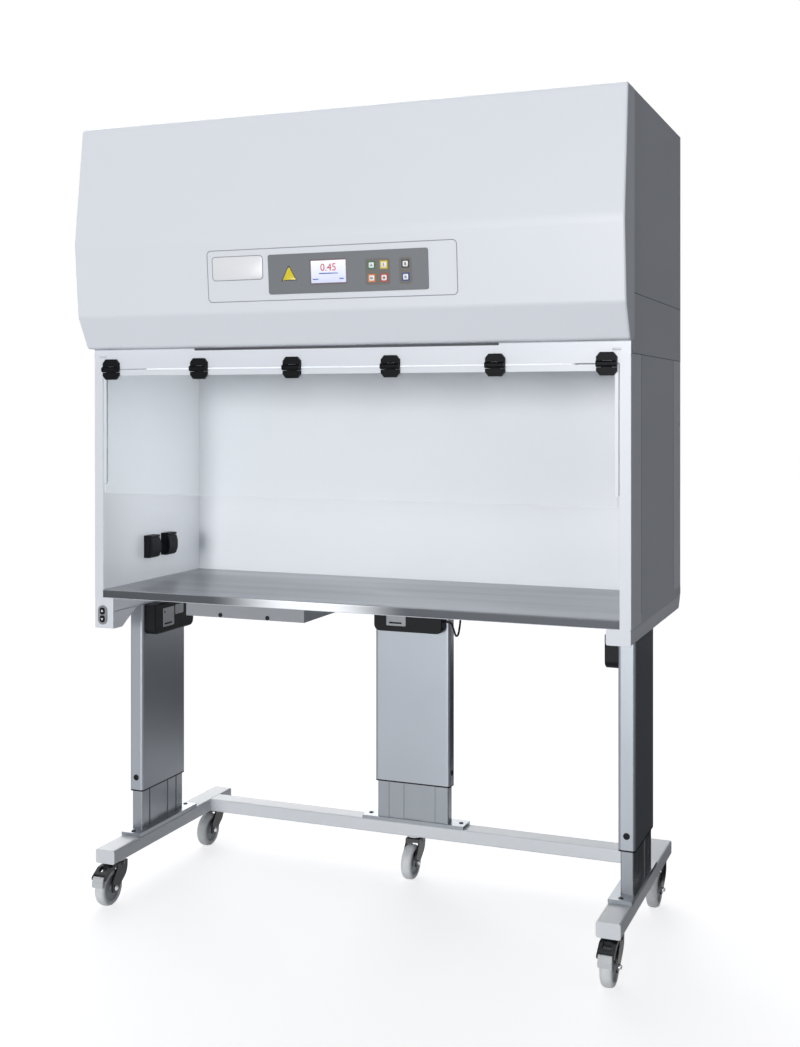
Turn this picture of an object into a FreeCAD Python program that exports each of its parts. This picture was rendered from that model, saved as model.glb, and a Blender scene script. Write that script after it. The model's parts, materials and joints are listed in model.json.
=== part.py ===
import FreeCAD, Part
import math
import os
import Sketcher
from FreeCAD import Placement, Rotation, Vector

# A laminar flow cabinet on a height-adjustable stand with casters.
# Millimetres. X runs to the right, Y to the back, Z up from the floor.
# The origin is on the floor, under the middle of the whole object.

document = FreeCAD.newDocument("FlowCabinet")
sheet = document.addObject("Spreadsheet::Sheet", "Sizes")


class Size:
    """A length held both as an expression on the sheet and as a number."""

    def __init__(self, text, value):
        self.text = text
        self.value = value

    def joined(self, sign, other, value):
        return Size("(" + self.text + " " + sign + " " + other.text + ")", value)

    def __add__(self, other):
        other = as_size(other)
        return self.joined("+", other, self.value + other.value)

    def __radd__(self, other):
        return as_size(other) + self

    def __sub__(self, other):
        other = as_size(other)
        return self.joined("-", other, self.value - other.value)

    def __rsub__(self, other):
        return as_size(other) - self

    def __mul__(self, other):
        other = as_size(other)
        return self.joined("*", other, self.value * other.value)

    def __rmul__(self, other):
        return as_size(other) * self

    def __truediv__(self, other):
        other = as_size(other)
        return self.joined("/", other, self.value / other.value)

    def __neg__(self):
        return Size("(0 - " + self.text + ")", -self.value)


def as_size(number):
    if isinstance(number, Size):
        return number
    return Size("(" + repr(float(number)) + ")", float(number))


sheet_rows = []


def size(name, value, note):
    """Write one driving dimension to the sheet and give it back."""
    sheet_rows.append(name)
    row = str(len(sheet_rows))
    sheet.set("A" + row, name)
    sheet.set("B" + row, str(value))
    sheet.setAlias("B" + row, name)
    sheet.set("C" + row, note)
    return Size("Sizes." + name, float(value))


# Whole cabinet
body_width = size("body_width", 1500, "cabinet body, left side to right side")
body_depth = size("body_depth", 660, "cabinet body, front posts to back panel")
hood_reach = size("hood_reach", 90, "how far the hood's nose stands in front of the body")
hood_top = size("hood_top", 2131, "top of the hood above the floor")
sheet_wall = size("sheet_wall", 1.5, "painted sheet steel")

# Casters
wheel_diameter = size("wheel_diameter", 98, "caster wheel over the tread")
wheel_width = size("wheel_width", 30, "caster wheel across the tread")
caster_height = size("caster_height", 118, "floor to the underside of the foot")
caster_trail = size("caster_trail", 38, "wheel axle behind the swivel axis")
fork_wall = size("fork_wall", 5, "leg of the caster fork")
fork_gap = size("fork_gap", 2, "wheel to fork leg")
swivel_radius = size("swivel_radius", 24, "swivel head of the caster")
swivel_head = size("swivel_head", 12, "height of the swivel head")
swivel_gap = size("swivel_gap", 0.5, "swivel head to mounting flange")
flange_thick = size("flange_thick", 4, "mounting flange of the caster")
stem_radius = size("stem_radius", 6, "swivel stem")
axle_radius = size("axle_radius", 4, "wheel axle")
running_gap = size("running_gap", 0.05, "radial clearance of each shaft in its bore")
caster_inset = size("caster_inset", 55, "swivel axis from the end of the foot")

# Base
foot_spread = size("foot_spread", 1400, "between the centre lines of the feet")
foot_length = size("foot_length", 655, "foot, front to back")
foot_lead = size("foot_lead", 23, "foot's front end ahead of the body")
tube_width = size("tube_width", 60, "base tube, wide side")
foot_height = size("foot_height", 38, "base tube, height")
tube_wall = size("tube_wall", 3, "base tube, wall")
tube_round = size("tube_round", 5, "base tube, corner radius")
rail_set = size("rail_set", 502, "rear rail's front face behind the body's front")

# Lifting columns
column_width = size("column_width", 232, "outer column, wide side")
column_thick = size("column_thick", 44, "outer column, narrow side")
column_wall = size("column_wall", 3, "outer column, wall")
column_round = size("column_round", 8, "outer column, corner radius")
column_bottom = size("column_bottom", 276, "lower end of the outer columns")
column_set = size("column_set", 260, "side columns' centre behind the body's front")
column_cap = size("column_cap", 10, "end plate of the outer column")
inner_width = size("inner_width", 220, "inner column, wide side")
inner_thick = size("inner_thick", 34, "inner column, narrow side")
inner_wall = size("inner_wall", 5, "inner column, wall")
inner_top = size("inner_top", 680, "upper end of the inner columns")
flute_depth = size("flute_depth", 2, "grooves along the inner column")
flute_wide = size("flute_wide", 56, "wide groove of the inner column")
flute_thin = size("flute_thin", 6, "thin groove of the inner column")
flute_place = size("flute_place", 72, "thin groove from the middle")
plate_length = size("plate_length", 315, "foot plate of the column")
plate_thick = size("plate_thick", 10, "foot plate, thickness")
nut_height = size("nut_height", 40, "spindle nut in the inner column")
spindle_radius = size("spindle_radius", 7, "lifting spindle")
spindle_bottom = size("spindle_bottom", 330, "lower end of the spindle")
collar_radius = size("collar_radius", 12, "thrust collar of the spindle")
glide_flange = size("glide_flange", 4, "plastic rim under the outer column")
glide_height = size("glide_height", 40, "plastic glide inside the outer column")
glide_gap = size("glide_gap", 0.4, "glide to inner column")
motor_width = size("motor_width", 212, "motor housing, wide side")
motor_thick = size("motor_thick", 36, "motor housing, off the column")
motor_height = size("motor_height", 86, "motor housing, height")
motor_round = size("motor_round", 18, "motor housing, lower corners")

# Body frame under the chamber
support_height = size("support_height", 38, "tubes that carry the body")
body_bottom = size("body_bottom", 806, "underside of the body's tubes")
rail_inset = size("rail_inset", 1, "carrying tubes inside the panels")
worktop_top = size("worktop_top", 867, "worktop above the floor")
worktop_half = size("worktop_half", 722, "half the worktop's width, and of the chamber")
chamber_depth = size("chamber_depth", 521, "worktop, front edge to the back wall")
nose_round = size("nose_round", 3, "front edge of the worktop")
skirt_height = size("skirt_height", 24, "upstand of the floor pan")
control_left = size("control_left", -517, "control box, left end")
control_width = size("control_width", 363, "control box, left to right")
control_set = size("control_set", 100, "control box behind the body's front")
control_depth = size("control_depth", 245, "control box, front to back")
control_height = size("control_height", 51, "control box, height")

# Chamber
post_depth = size("post_depth", 120, "front post along the side")
post_lip = size("post_lip", 14, "folded edge of a post")
rear_post_set = size("rear_post_set", 549, "rear post behind the body's front")
chamber_top = size("chamber_top", 1500, "seam between the chamber and the hood")
cassette = size("cassette", 15, "folded edge of the side and back panels")
rear_fold = size("rear_fold", 40, "rear post along the back")
header_height = size("header_height", 31, "white header above the posts")
header_lip = size("header_lip", 23, "header between the posts")
header_shelf = size("header_shelf", 20, "fold at the header's top")

# Visor
hinge_line = size("hinge_line", 1475, "visor hinge axis above the floor")
hinge_pitch = size("hinge_pitch", 277, "between two hinges")
hinge_width = size("hinge_width", 50, "hinge along its axis")
hinge_leaf = size("hinge_leaf", 28, "hinge leaf above or below the axis")
leaf_thick = size("leaf_thick", 9, "hinge leaf, thickness")
knuckle_radius = size("knuckle_radius", 8, "hinge barrel")
knuckle_gap = size("knuckle_gap", 0.5, "between hinge knuckles")
hinge_pin = size("hinge_pin", 2.5, "hinge pin, radius")
visor_bottom = size("visor_bottom", 1134, "lower edge of the clear visor")
visor_thick = size("visor_thick", 5, "clear visor")
visor_skin = size("visor_skin", 2, "frame in front of the clear panel")
visor_half = size("visor_half", 720, "half the visor's width over its frame")
rail_height = size("rail_height", 16, "white rail along the visor's top")
strip_width = size("strip_width", 9, "white strip along the visor's side")
strip_bottom = size("strip_bottom", 1160, "lower end of the white strips")
frame_thick = size("frame_thick", 9, "visor frame, front to back")

# Hood
hood_side = size("hood_side", 4, "front cover beyond the body's side")
hood_wall = size("hood_wall", 2, "front cover, wall")
hood_lap = size("hood_lap", 20, "front cover's side behind the body's front")
low_reach = size("low_reach", 29, "front cover's bottom ahead of the body")
bend_reach = size("bend_reach", 73, "lower crease ahead of the body")
bend_line = size("bend_line", 1615, "lower crease above the floor")
nose_line = size("nose_line", 1811, "upper crease above the floor")
crown_reach = size("crown_reach", 52, "front cover's top edge ahead of the body")
bend_round = size("bend_round", 25, "lower crease, radius")
nose_curve = size("nose_curve", 120, "upper crease, radius")
crown_round = size("crown_round", 10, "front cover's top edge, radius")
hem_round = size("hem_round", 12, "front cover's lower edge, radius")
band_top = size("band_top", 1645, "seam above the hood's lower band")
slot_length = size("slot_length", 170, "intake slot in the top")
slot_width = size("slot_width", 8, "intake slot, width")
slot_pitch = size("slot_pitch", 24, "between two intake slots")
slot_rows = 14
slot_fields = 3

# Control panel, measured along the hood's middle facet
panel_left = size("panel_left", -166, "control panel, left end")
panel_width = size("panel_width", 436, "control panel, left to right")
panel_low = size("panel_low", 45, "control panel above the lower crease")
panel_high = size("panel_high", 101, "control panel, height")
panel_thick = size("panel_thick", 3, "control panel, thickness")
panel_round = size("panel_round", 6, "control panel, corner radius")
screen_left = size("screen_left", -47, "screen, left end")
screen_width = size("screen_width", 100, "screen, left to right")
screen_low = size("screen_low", 68, "screen above the lower crease")
screen_high = size("screen_high", 60, "screen, height")
screen_thick = size("screen_thick", 1.5, "screen glass")
key_size = size("key_size", 20, "key, side")
key_gap = size("key_gap", 0.3, "key to panel")
key_lift = size("key_lift", 1, "key's back off the front cover")
key_proud = size("key_proud", 0.6, "key in front of the panel")
key_columns = [
    size("key_column_one", 120.5, "first column of keys"),
    size("key_column_two", 153.7, "second column of keys"),
    size("key_column_three", 210.8, "third column of keys"),
]
key_low_row = size("key_low_row", 77, "lower row of keys above the lower crease")
key_high_row = size("key_high_row", 109, "upper row of keys above the lower crease")

# Filter, fan and light
filter_half = size("filter_half", 690, "half the filter's width")
filter_depth = size("filter_depth", 440, "filter, front to back")
filter_height = size("filter_height", 90, "filter, height")
filter_rim = size("filter_rim", 20, "filter frame")
filter_inset = size("filter_inset", 55, "filter behind the body's front")
pleat_pitch = size("pleat_pitch", 58, "between two pleats")
pleat_thick = size("pleat_thick", 3, "filter paper with its separators")
vent_length = size("vent_length", 290, "outlet slot in the diffuser")
vent_width = size("vent_width", 10, "outlet slot, width")
vent_pitch = size("vent_pitch", 30, "between two outlet slots")
deck_level = size("deck_level", 1900, "fan deck above the floor")
deck_flange = size("deck_flange", 20, "fan deck, folded edge")
fan_set = size("fan_set", 350, "fan axis behind the body's front")
inlet_radius = size("inlet_radius", 95, "fan inlet")
inlet_depth = size("inlet_depth", 25, "inlet ring under the deck")
wheel_radius = size("wheel_radius", 150, "fan wheel")
wheel_height = size("wheel_height", 80, "fan wheel, height")
wheel_gap = size("wheel_gap", 4, "inlet ring to fan wheel")
blade_thick = size("blade_thick", 2.5, "fan blade")
blade_sweep = size("blade_sweep", 56, "how far a blade's tip lags behind its root")
blade_count = 7
hub_radius = size("hub_radius", 30, "hub of the fan wheel")
shaft_radius = size("shaft_radius", 10, "fan shaft")
motor_radius = size("motor_radius", 70, "fan motor")
motor_drop = size("motor_drop", 70, "fan motor, height")
strut_radius = size("strut_radius", 6, "half the struts that hold the fan motor")
strut_ring = size("strut_ring", 175, "struts from the fan's axis")
prefilter_half = size("prefilter_half", 600, "half the prefilter's width")
prefilter_depth = size("prefilter_depth", 400, "prefilter, front to back")
prefilter_thick = size("prefilter_thick", 20, "prefilter")
lamp_half = size("lamp_half", 600, "half the lamp's length")
lamp_depth = size("lamp_depth", 34, "lamp, front to back")
lamp_height = size("lamp_height", 26, "lamp, height")

# Sockets and switch
socket_width = size("socket_width", 50, "socket, along the wall")
socket_height = size("socket_height", 65, "socket, height")
socket_thick = size("socket_thick", 18, "socket, off the wall")
socket_level = size("socket_level", 965, "middle of the sockets above the floor")
socket_set = size("socket_set", 231, "front socket behind the body's front")
socket_pitch = size("socket_pitch", 92, "between the two sockets")
socket_bore = size("socket_bore", 19, "round recess for the plug, radius")
socket_deep = size("socket_deep", 14, "recess for the plug, depth")
lid_thick = size("lid_thick", 11, "flip lid")
lid_gap = size("lid_gap", 0.3, "flip lid off its socket")
lid_pin = size("lid_pin", 1.5, "lid's hinge pin, radius")
lid_barrel = size("lid_barrel", 3.5, "lid's hinge barrel, radius")
inlet_width = size("inlet_width", 48, "mains inlet")
inlet_height = size("inlet_height", 28, "mains inlet, height")
inlet_thick = size("inlet_thick", 20, "mains inlet, off the control box")
console_left = size("console_left", -748, "switch bracket, left side")
console_width = size("console_width", 59, "switch bracket")
console_bottom = size("console_bottom", 760, "switch bracket, lower edge")
console_flat = size("console_flat", 45, "switch bracket's level underside")
console_depth = size("console_depth", 118, "switch bracket, front to back")
switch_place = size("switch_place", -722, "middle of the switch")
switch_level = size("switch_level", 797, "middle of the switch above the floor")
switch_width = size("switch_width", 28, "oval switch plate")
switch_height = size("switch_height", 53, "oval switch plate, height")
switch_thick = size("switch_thick", 4, "oval switch plate, off the bracket")
switch_deep = size("switch_deep", 14, "switch body behind the bracket")
button_width = size("button_width", 17, "switch button")
button_height = size("button_height", 19, "switch button, height")
button_split = size("button_split", 22, "between the middles of the two buttons")
button_proud = size("button_proud", 1.5, "switch button in front of its plate")
button_deep = size("button_deep", 10, "switch button, front to back")
button_travel = size("button_travel", 2, "switch button, travel")

# Brake
brake_width = size("brake_width", 42, "brake cover, across")
brake_reach = size("brake_reach", 88, "brake cover ahead of the swivel axis")
pedal_width = size("pedal_width", 34, "brake pedal, across")
pedal_pin = size("pedal_pin", 2.5, "brake pedal's pin, radius")
pedal_barrel = size("pedal_barrel", 4.2, "brake pedal's barrel, radius")
pedal_drop = size("pedal_drop", 23.5, "brake pedal below its pin")

# Motor lead
lead_radius = size("lead_radius", 3, "lead between motor and body")
lead_sides = 8

document.recompute()

# Places worked out from the sizes
body_front = hood_reach / 2 - body_depth / 2
body_back = hood_reach / 2 + body_depth / 2
body_half = body_width / 2
foot_half = foot_spread / 2
foot_front = body_front - foot_lead
foot_top = caster_height + foot_height
rail_front = body_front + rail_set
plate_top = foot_top + plate_thick
support_top = body_bottom + support_height
pan_top = support_top + sheet_wall
chamber_back = body_front + chamber_depth
liner_half = worktop_half + sheet_wall
side_column = foot_half + tube_width / 2 - column_thick / 2
rear_column = rail_front + column_thick / 2
cover_bottom = chamber_top + header_height
top_sheet = hood_top - sheet_wall
skirt_top = support_top + skirt_height
post_back = body_front + post_depth
rear_post = body_front + rear_post_set


def body_plane(body, role):
    for feature in body.Origin.OriginFeatures:
        if feature.Role == role:
            return feature
    raise ValueError(role)


def new_body(name):
    return document.addObject("PartDesign::Body", name)


def corner(x, y, radius=None):
    """One corner of an outline, rounded where a radius is given."""
    if radius is not None:
        radius = as_size(radius)
    return (as_size(x), as_size(y), radius)


def block(x_low, y_low, x_high, y_high, radius=None):
    """The four corners of an upright rectangle."""
    return [
        corner(x_low, y_low, radius),
        corner(x_high, y_low, radius),
        corner(x_high, y_high, radius),
        corner(x_low, y_high, radius),
    ]


def disc(x, y, radius):
    """A circle in an outline."""
    return (as_size(x), as_size(y), as_size(radius))


def polygon(x, y, radius, sides=8):
    """The corners of an even polygon, for a small round that needs few faces."""
    corners = []
    for index in range(sides):
        turned = math.radians(360 * (index + 0.5) / sides)
        corners.append(corner(x + radius * round(math.cos(turned), 6),
                              y + radius * round(math.sin(turned), 6)))
    return corners


def bind(sketch, kind, places, length):
    """Add one dimension to a sketch and tie it to the sheet."""
    index = sketch.addConstraint(Sketcher.Constraint(kind, *places, length.value))
    sketch.setExpression("Constraints[" + str(index) + "]", length.text)


def bend_points(before, here, after):
    """Where a rounded corner starts and ends, its centre and whether it turns left."""
    point = Vector(here[0].value, here[1].value, 0)
    back = Vector(before[0].value, before[1].value, 0) - point
    ahead = Vector(after[0].value, after[1].value, 0) - point
    back.normalize()
    ahead.normalize()
    half_angle = back.getAngle(ahead) / 2
    reach = here[2].value / math.tan(half_angle)
    middle = back + ahead
    middle.normalize()
    centre = point + middle * (here[2].value / math.sin(half_angle))
    turns_left = back.cross(ahead).z < 0
    return point + back * reach, point + ahead * reach, centre, turns_left


def draw_loop(sketch, corners):
    """Draw a closed outline of straight runs and rounded corners, tied to the sheet."""
    count = len(corners)
    starts = []
    ends = []
    bends = []
    for index, here in enumerate(corners):
        if here[2] is None:
            point = Vector(here[0].value, here[1].value, 0)
            ends.append(point)
            starts.append(point)
            bends.append(None)
        else:
            entry, leave, centre, left = bend_points(
                corners[index - 1], here, corners[(index + 1) % count])
            ends.append(entry)
            starts.append(leave)
            bends.append((centre, left))
    lines = []
    for index in range(count):
        run = Part.LineSegment(starts[index], ends[(index + 1) % count])
        lines.append(sketch.addGeometry(run, False))
    for index, here in enumerate(corners):
        came = lines[index - 1]
        goes = lines[index]
        if bends[index] is None:
            sketch.addConstraint(Sketcher.Constraint("Coincident", came, 2, goes, 1))
            bind(sketch, "DistanceX", (-1, 1, goes, 1), here[0])
            bind(sketch, "DistanceY", (-1, 1, goes, 1), here[1])
            continue
        centre, left = bends[index]
        first = ends[index] - centre
        last = starts[index] - centre
        if not left:
            first, last = last, first
        circle = Part.Circle(centre, Vector(0, 0, 1), here[2].value)
        sweep = Part.ArcOfCircle(circle, math.atan2(first.y, first.x), math.atan2(last.y, last.x))
        arc = sketch.addGeometry(sweep, False)
        enters, leaves = (1, 2) if left else (2, 1)
        sketch.addConstraint(Sketcher.Constraint("Tangent", came, 2, arc, enters))
        sketch.addConstraint(Sketcher.Constraint("Tangent", arc, leaves, goes, 1))
        tip = sketch.addGeometry(Part.Point(Vector(here[0].value, here[1].value, 0)), True)
        bind(sketch, "DistanceX", (-1, 1, tip, 1), here[0])
        bind(sketch, "DistanceY", (-1, 1, tip, 1), here[1])
        sketch.addConstraint(Sketcher.Constraint("PointOnObject", tip, 1, came))
        sketch.addConstraint(Sketcher.Constraint("PointOnObject", tip, 1, goes))
        bind(sketch, "Radius", (arc,), here[2])


def draw_disc(sketch, place):
    circle = Part.Circle(Vector(place[0].value, place[1].value, 0), Vector(0, 0, 1), place[2].value)
    index = sketch.addGeometry(circle, False)
    bind(sketch, "DistanceX", (-1, 1, index, 3), place[0])
    bind(sketch, "DistanceY", (-1, 1, index, 3), place[1])
    bind(sketch, "Radius", (index,), place[2])


def new_sketch(body, plane, shift, outlines):
    """A sketch on one of the body's own planes, shifted along that plane's normal."""
    sketch = body.newObject("Sketcher::SketchObject", body.Name + "Sketch")
    sketch.AttachmentSupport = [(body_plane(body, plane + "_Plane"), "")]
    sketch.MapMode = "FlatFace"
    sketch.setExpression("AttachmentOffset.Base.z", as_size(shift).text)
    for outline in outlines:
        if isinstance(outline, tuple):
            draw_disc(sketch, outline)
        else:
            draw_loop(sketch, outline)
    return sketch


def ordered(first, second):
    first = as_size(first)
    second = as_size(second)
    if first.value <= second.value:
        return first, second
    return second, first


def add(body, plane, outlines, first, second):
    """Pad outlines on XY, XZ or YZ between two levels of the third axis."""
    low, high = ordered(first, second)
    shift = -high if plane == "XZ" else low
    pad = body.newObject("PartDesign::Pad", body.Name + "Pad")
    pad.Profile = new_sketch(body, plane, shift, outlines)
    pad.setExpression("Length", (high - low).text)
    return pad


def cut(body, plane, outlines, first, second):
    """Pocket outlines on XY, XZ or YZ between two levels of the third axis."""
    low, high = ordered(first, second)
    shift = -low if plane == "XZ" else high
    document.recompute()
    before = body.Shape.Volume
    pocket = body.newObject("PartDesign::Pocket", body.Name + "Pocket")
    pocket.Profile = new_sketch(body, plane, shift, outlines)
    pocket.setExpression("Length", (high - low).text)
    document.recompute()
    if body.Shape.Volume > before - 0.5:
        raise ValueError("a pocket cuts nothing in " + body.Name)
    return pocket


def turn(body, outlines, plane="XZ"):
    """Revolve outlines on XZ about the vertical axis of the sketch."""
    revolution = body.newObject("PartDesign::Revolution", body.Name + "Turn")
    revolution.Profile = new_sketch(body, plane, 0, outlines)
    revolution.ReferenceAxis = (revolution.Profile[0], ["V_Axis"])
    revolution.Angle = 360
    return revolution


def edges_that(shape, test):
    """Names of the edges that pass a test on their middle point and direction."""
    names = []
    for index, edge in enumerate(shape.Edges):
        if test(edge):
            names.append("Edge" + str(index + 1))
    return names


def soften(body, radius, test, kind="Fillet"):
    """Round or chamfer the edges that pass a test."""
    document.recompute()
    tip = body.Tip
    names = edges_that(tip.Shape, test)
    if not names:
        raise ValueError("no edges to soften in " + body.Name)
    feature = body.newObject("PartDesign::" + kind, body.Name + kind)
    feature.Base = (tip, names)
    feature.setExpression("Radius" if kind == "Fillet" else "Size", as_size(radius).text)
    return feature


def is_along(edge, axis):
    """Whether a straight edge runs along an axis."""
    if edge.Curve.TypeId != "Part::GeomLine":
        return False
    return abs(abs(edge.Curve.Direction.dot(axis)) - 1) < 1e-6


def repeat(body, original, axis_role, length, count):
    """Copy a feature along one of the body's origin axes."""
    pattern = body.newObject("PartDesign::LinearPattern", body.Name + "Row")
    pattern.Originals = [original]
    pattern.Direction = (body_plane(body, axis_role), [""])
    pattern.setExpression("Length", as_size(length).text)
    pattern.Occurrences = count
    body.Tip = pattern
    return pattern


def place(thing, x=0, y=0, z=0, about=None, angle=0):
    """Put a part in place, its position tied to the sheet."""
    if about is not None:
        thing.Placement = Placement(Vector(), Rotation(about, angle))
    thing.setExpression("Placement.Base.x", as_size(x).text)
    thing.setExpression("Placement.Base.y", as_size(y).text)
    thing.setExpression("Placement.Base.z", as_size(z).text)
    return thing


nodes = []


def node(name, thing):
    """Name one sub-part, which is written to a file of that name."""
    thing.Label = name
    nodes.append(thing)
    return thing


def group(name, things):
    """Like pieces that share one node as separate solids."""
    compound = document.addObject("Part::Compound", name)
    compound.Links = things
    return node(name, compound)


x_axis = Vector(1, 0, 0)
y_axis = Vector(0, 1, 0)
z_axis = Vector(0, 0, 1)
sides = (("left", -1), ("right", 1))


# Casters: five swivel forks, each with its wheel, two of them with a brake

caster_top = caster_height - flange_thick - swivel_gap
wheel_centre = wheel_diameter / 2
fork_half = wheel_width / 2 + fork_gap + fork_wall
slot_half = wheel_width / 2 + fork_gap
pedal_axis_y = 5 - brake_reach
pedal_axis_z = caster_top - swivel_head - 15


def caster_mount(body):
    """The flange and stem that hold a caster under its foot, at the body's own axis."""
    z_low = caster_height - flange_thick
    turn(body, [[
        corner(0, caster_top - swivel_head + 2),
        corner(stem_radius, caster_top - swivel_head + 2),
        corner(stem_radius, z_low),
        corner(swivel_radius, z_low),
        corner(swivel_radius, caster_height),
        corner(0, caster_height),
    ]])


def caster_fork(name, braked):
    """A moulded fork: swivel head, two curved legs and the riveted axle."""
    body = new_body(name)
    head_low = caster_top - swivel_head
    turn(body, [[
        corner(0, head_low),
        corner(swivel_radius, head_low),
        corner(swivel_radius, caster_top - 3),
        corner(swivel_radius - 3, caster_top),
        corner(0, caster_top),
    ]])
    legs = [
        corner(swivel_radius - 1, caster_top - 3),
        corner(swivel_radius - 2, head_low - 24, 40),
        corner(5 - caster_trail, wheel_centre - 12),
        corner(-9 - caster_trail, wheel_centre - 11),
        corner(-13 - caster_trail, wheel_centre - 3),
        corner(-9 - caster_trail, wheel_centre + 22),
        corner(-swivel_radius - 3, head_low - 3),
        corner(-swivel_radius - 1, caster_top - 3),
    ]
    add(body, "YZ", [legs], -fork_half, fork_half)
    slot = [
        corner(-caster_trail - wheel_centre, 0),
        corner(swivel_radius + 6, 0),
        corner(swivel_radius + 6, head_low - 14),
        corner(swivel_radius - 6, head_low - 1),
        corner(-caster_trail - wheel_centre, head_low - 1),
    ]
    cut(body, "YZ", [slot], -slot_half, slot_half)
    cut(body, "XY", [disc(0, 0, stem_radius + running_gap)], head_low - 6, caster_top + 1)
    if braked:
        add_brake_cover(body, head_low)
    add(body, "YZ", [disc(-caster_trail, wheel_centre, axle_radius)], -fork_half - 3, fork_half + 3)
    return body


def add_brake_cover(body, head_low):
    """A cover that slopes over the wheel's front, notched for the pedal it carries."""
    half = brake_width / 2
    front = -brake_reach
    cover = [
        corner(6 - swivel_radius, caster_top - 0.5),
        corner(front + 30, head_low + 7.5),
        corner(front + 2, pedal_axis_z + 4.5),
        corner(front, pedal_axis_z + 2.5),
        corner(front, pedal_axis_z - 4.5),
        corner(front + 10, pedal_axis_z - 4),
        corner(front + 24, pedal_axis_z + 7.5),
        corner(front + 40, head_low - 1.5),
        corner(-swivel_radius - 4, head_low + 2),
    ]
    add(body, "YZ", [cover], -half, half)
    window = block(-half + 10, front + 17, half - 10, front + 37)
    cut(body, "XY", [window], pedal_axis_z, caster_top)
    notch_half = pedal_width / 2 + key_gap
    notch = block(-notch_half, front - 1, notch_half, pedal_axis_y + pedal_barrel + key_gap)
    cut(body, "XY", [notch], pedal_axis_z - 10, pedal_axis_z + 12)
    add(body, "YZ", [disc(pedal_axis_y, pedal_axis_z, pedal_pin)], -half, half)


def caster_wheel(name):
    """Tread, dished web and hub, turned about the axle."""
    body = new_body(name)
    half = wheel_width / 2
    tread = wheel_diameter / 2
    bore = axle_radius + running_gap
    profile = [
        corner(bore, -half - 1.5),
        corner(12, -half - 1.5),
        corner(14, -half + 6),
        corner(tread - 14, -half + 6),
        corner(tread - 9, -half),
        corner(tread, -half + 9),
        corner(tread, half - 9),
        corner(tread - 9, half),
        corner(tread - 14, half - 6),
        corner(14, half - 6),
        corner(12, half + 1.5),
        corner(bore, half + 1.5),
    ]
    turn(body, [profile])
    return body


def brake_pedal(name):
    """The lever in front of the wheel, its barrel on the pin across the brake cover."""
    body = new_body(name)
    half = pedal_width / 2
    front = -brake_reach
    lever = [
        corner(front, pedal_axis_z + 0.5),
        corner(front - 4, pedal_axis_z - 9.5),
        corner(front - 4, pedal_axis_z - pedal_drop),
        corner(front, pedal_axis_z - pedal_drop),
        corner(front + 1.5, pedal_axis_z - 13.5),
        corner(front + 7.5, pedal_axis_z - 3),
        corner(pedal_axis_y, pedal_axis_z),
    ]
    add(body, "YZ", [disc(pedal_axis_y, pedal_axis_z, pedal_barrel)], -half, half)
    add(body, "YZ", [lever], -half, half)
    cut(body, "YZ", [disc(pedal_axis_y, pedal_axis_z, pedal_pin + running_gap)], -half, half)
    return body


caster_sites = [
    ("front_left", -foot_half, foot_front + caster_inset, True),
    ("front_right", foot_half, foot_front + caster_inset, True),
    ("rear_left", -foot_half, foot_front + foot_length - caster_inset, False),
    ("rear_right", foot_half, foot_front + foot_length - caster_inset, False),
    ("middle", as_size(0), rail_front + tube_width / 2, False),
]
for site, x, y, braked in caster_sites:
    fork = caster_fork(site + "_fork", braked)
    node(site + "_caster_fork", place(fork, x, y))
    wheel = caster_wheel(site + "_wheel")
    node(site + "_caster_wheel", place(
        wheel, x, y - caster_trail, wheel_centre, y_axis, 90))
    if braked:
        node(site + "_brake_pedal", place(brake_pedal(site + "_pedal"), x, y))


# Base: two feet and a rear rail of rectangular tube, with the caster mounts


def tube_section(first_low, second_low, first_high, second_high):
    """Outer and inner outline of a rectangular tube."""
    return [
        block(first_low, second_low, first_high, second_high, tube_round),
        block(first_low + tube_wall, second_low + tube_wall,
              first_high - tube_wall, second_high - tube_wall),
    ]


def base_foot(name, side):
    body = new_body(name)
    x = foot_half * side
    low = x - tube_width / 2
    high = x + tube_width / 2
    foot_back = foot_front + foot_length
    add(body, "XZ", tube_section(low, caster_height, high, foot_top), foot_front, foot_back)
    cap = [block(low, caster_height, high, foot_top, tube_round)]
    add(body, "XZ", cap, foot_front, foot_front + tube_wall)
    add(body, "XZ", cap, foot_back - tube_wall, foot_back)
    mounts = []
    for y in (foot_front + caster_inset, foot_back - caster_inset):
        mount = new_body(name + "_mount")
        caster_mount(mount)
        mounts.append(place(mount, x, y))
    return join(name + "_welded", [body] + mounts)


def join(name, things):
    """Pieces that are welded or moulded as one."""
    fuse = document.addObject("Part::MultiFuse", name)
    fuse.Shapes = things
    fuse.Refine = False
    return fuse


for name, side in sides:
    node(name + "_foot", base_foot(name + "_base_foot", side))

rail = new_body("base_rail")
rail_end = foot_half - tube_width / 2
add(rail, "YZ", tube_section(rail_front, caster_height, rail_front + tube_width, foot_top),
    -rail_end, rail_end)
rail_mount = new_body("base_rail_mount")
caster_mount(rail_mount)
place(rail_mount, 0, rail_front + tube_width / 2)
node("rear_rail", join("rear_rail_welded", [rail, rail_mount]))


# Lifting columns: fluted inner columns on the base, outer columns under the body

column_sites = [
    ("left", -side_column, body_front + column_set, 90),
    ("middle", as_size(0), rear_column, 0),
    ("right", side_column, body_front + column_set, 90),
]
half_wide = inner_width / 2
half_deep = inner_thick / 2


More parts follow.
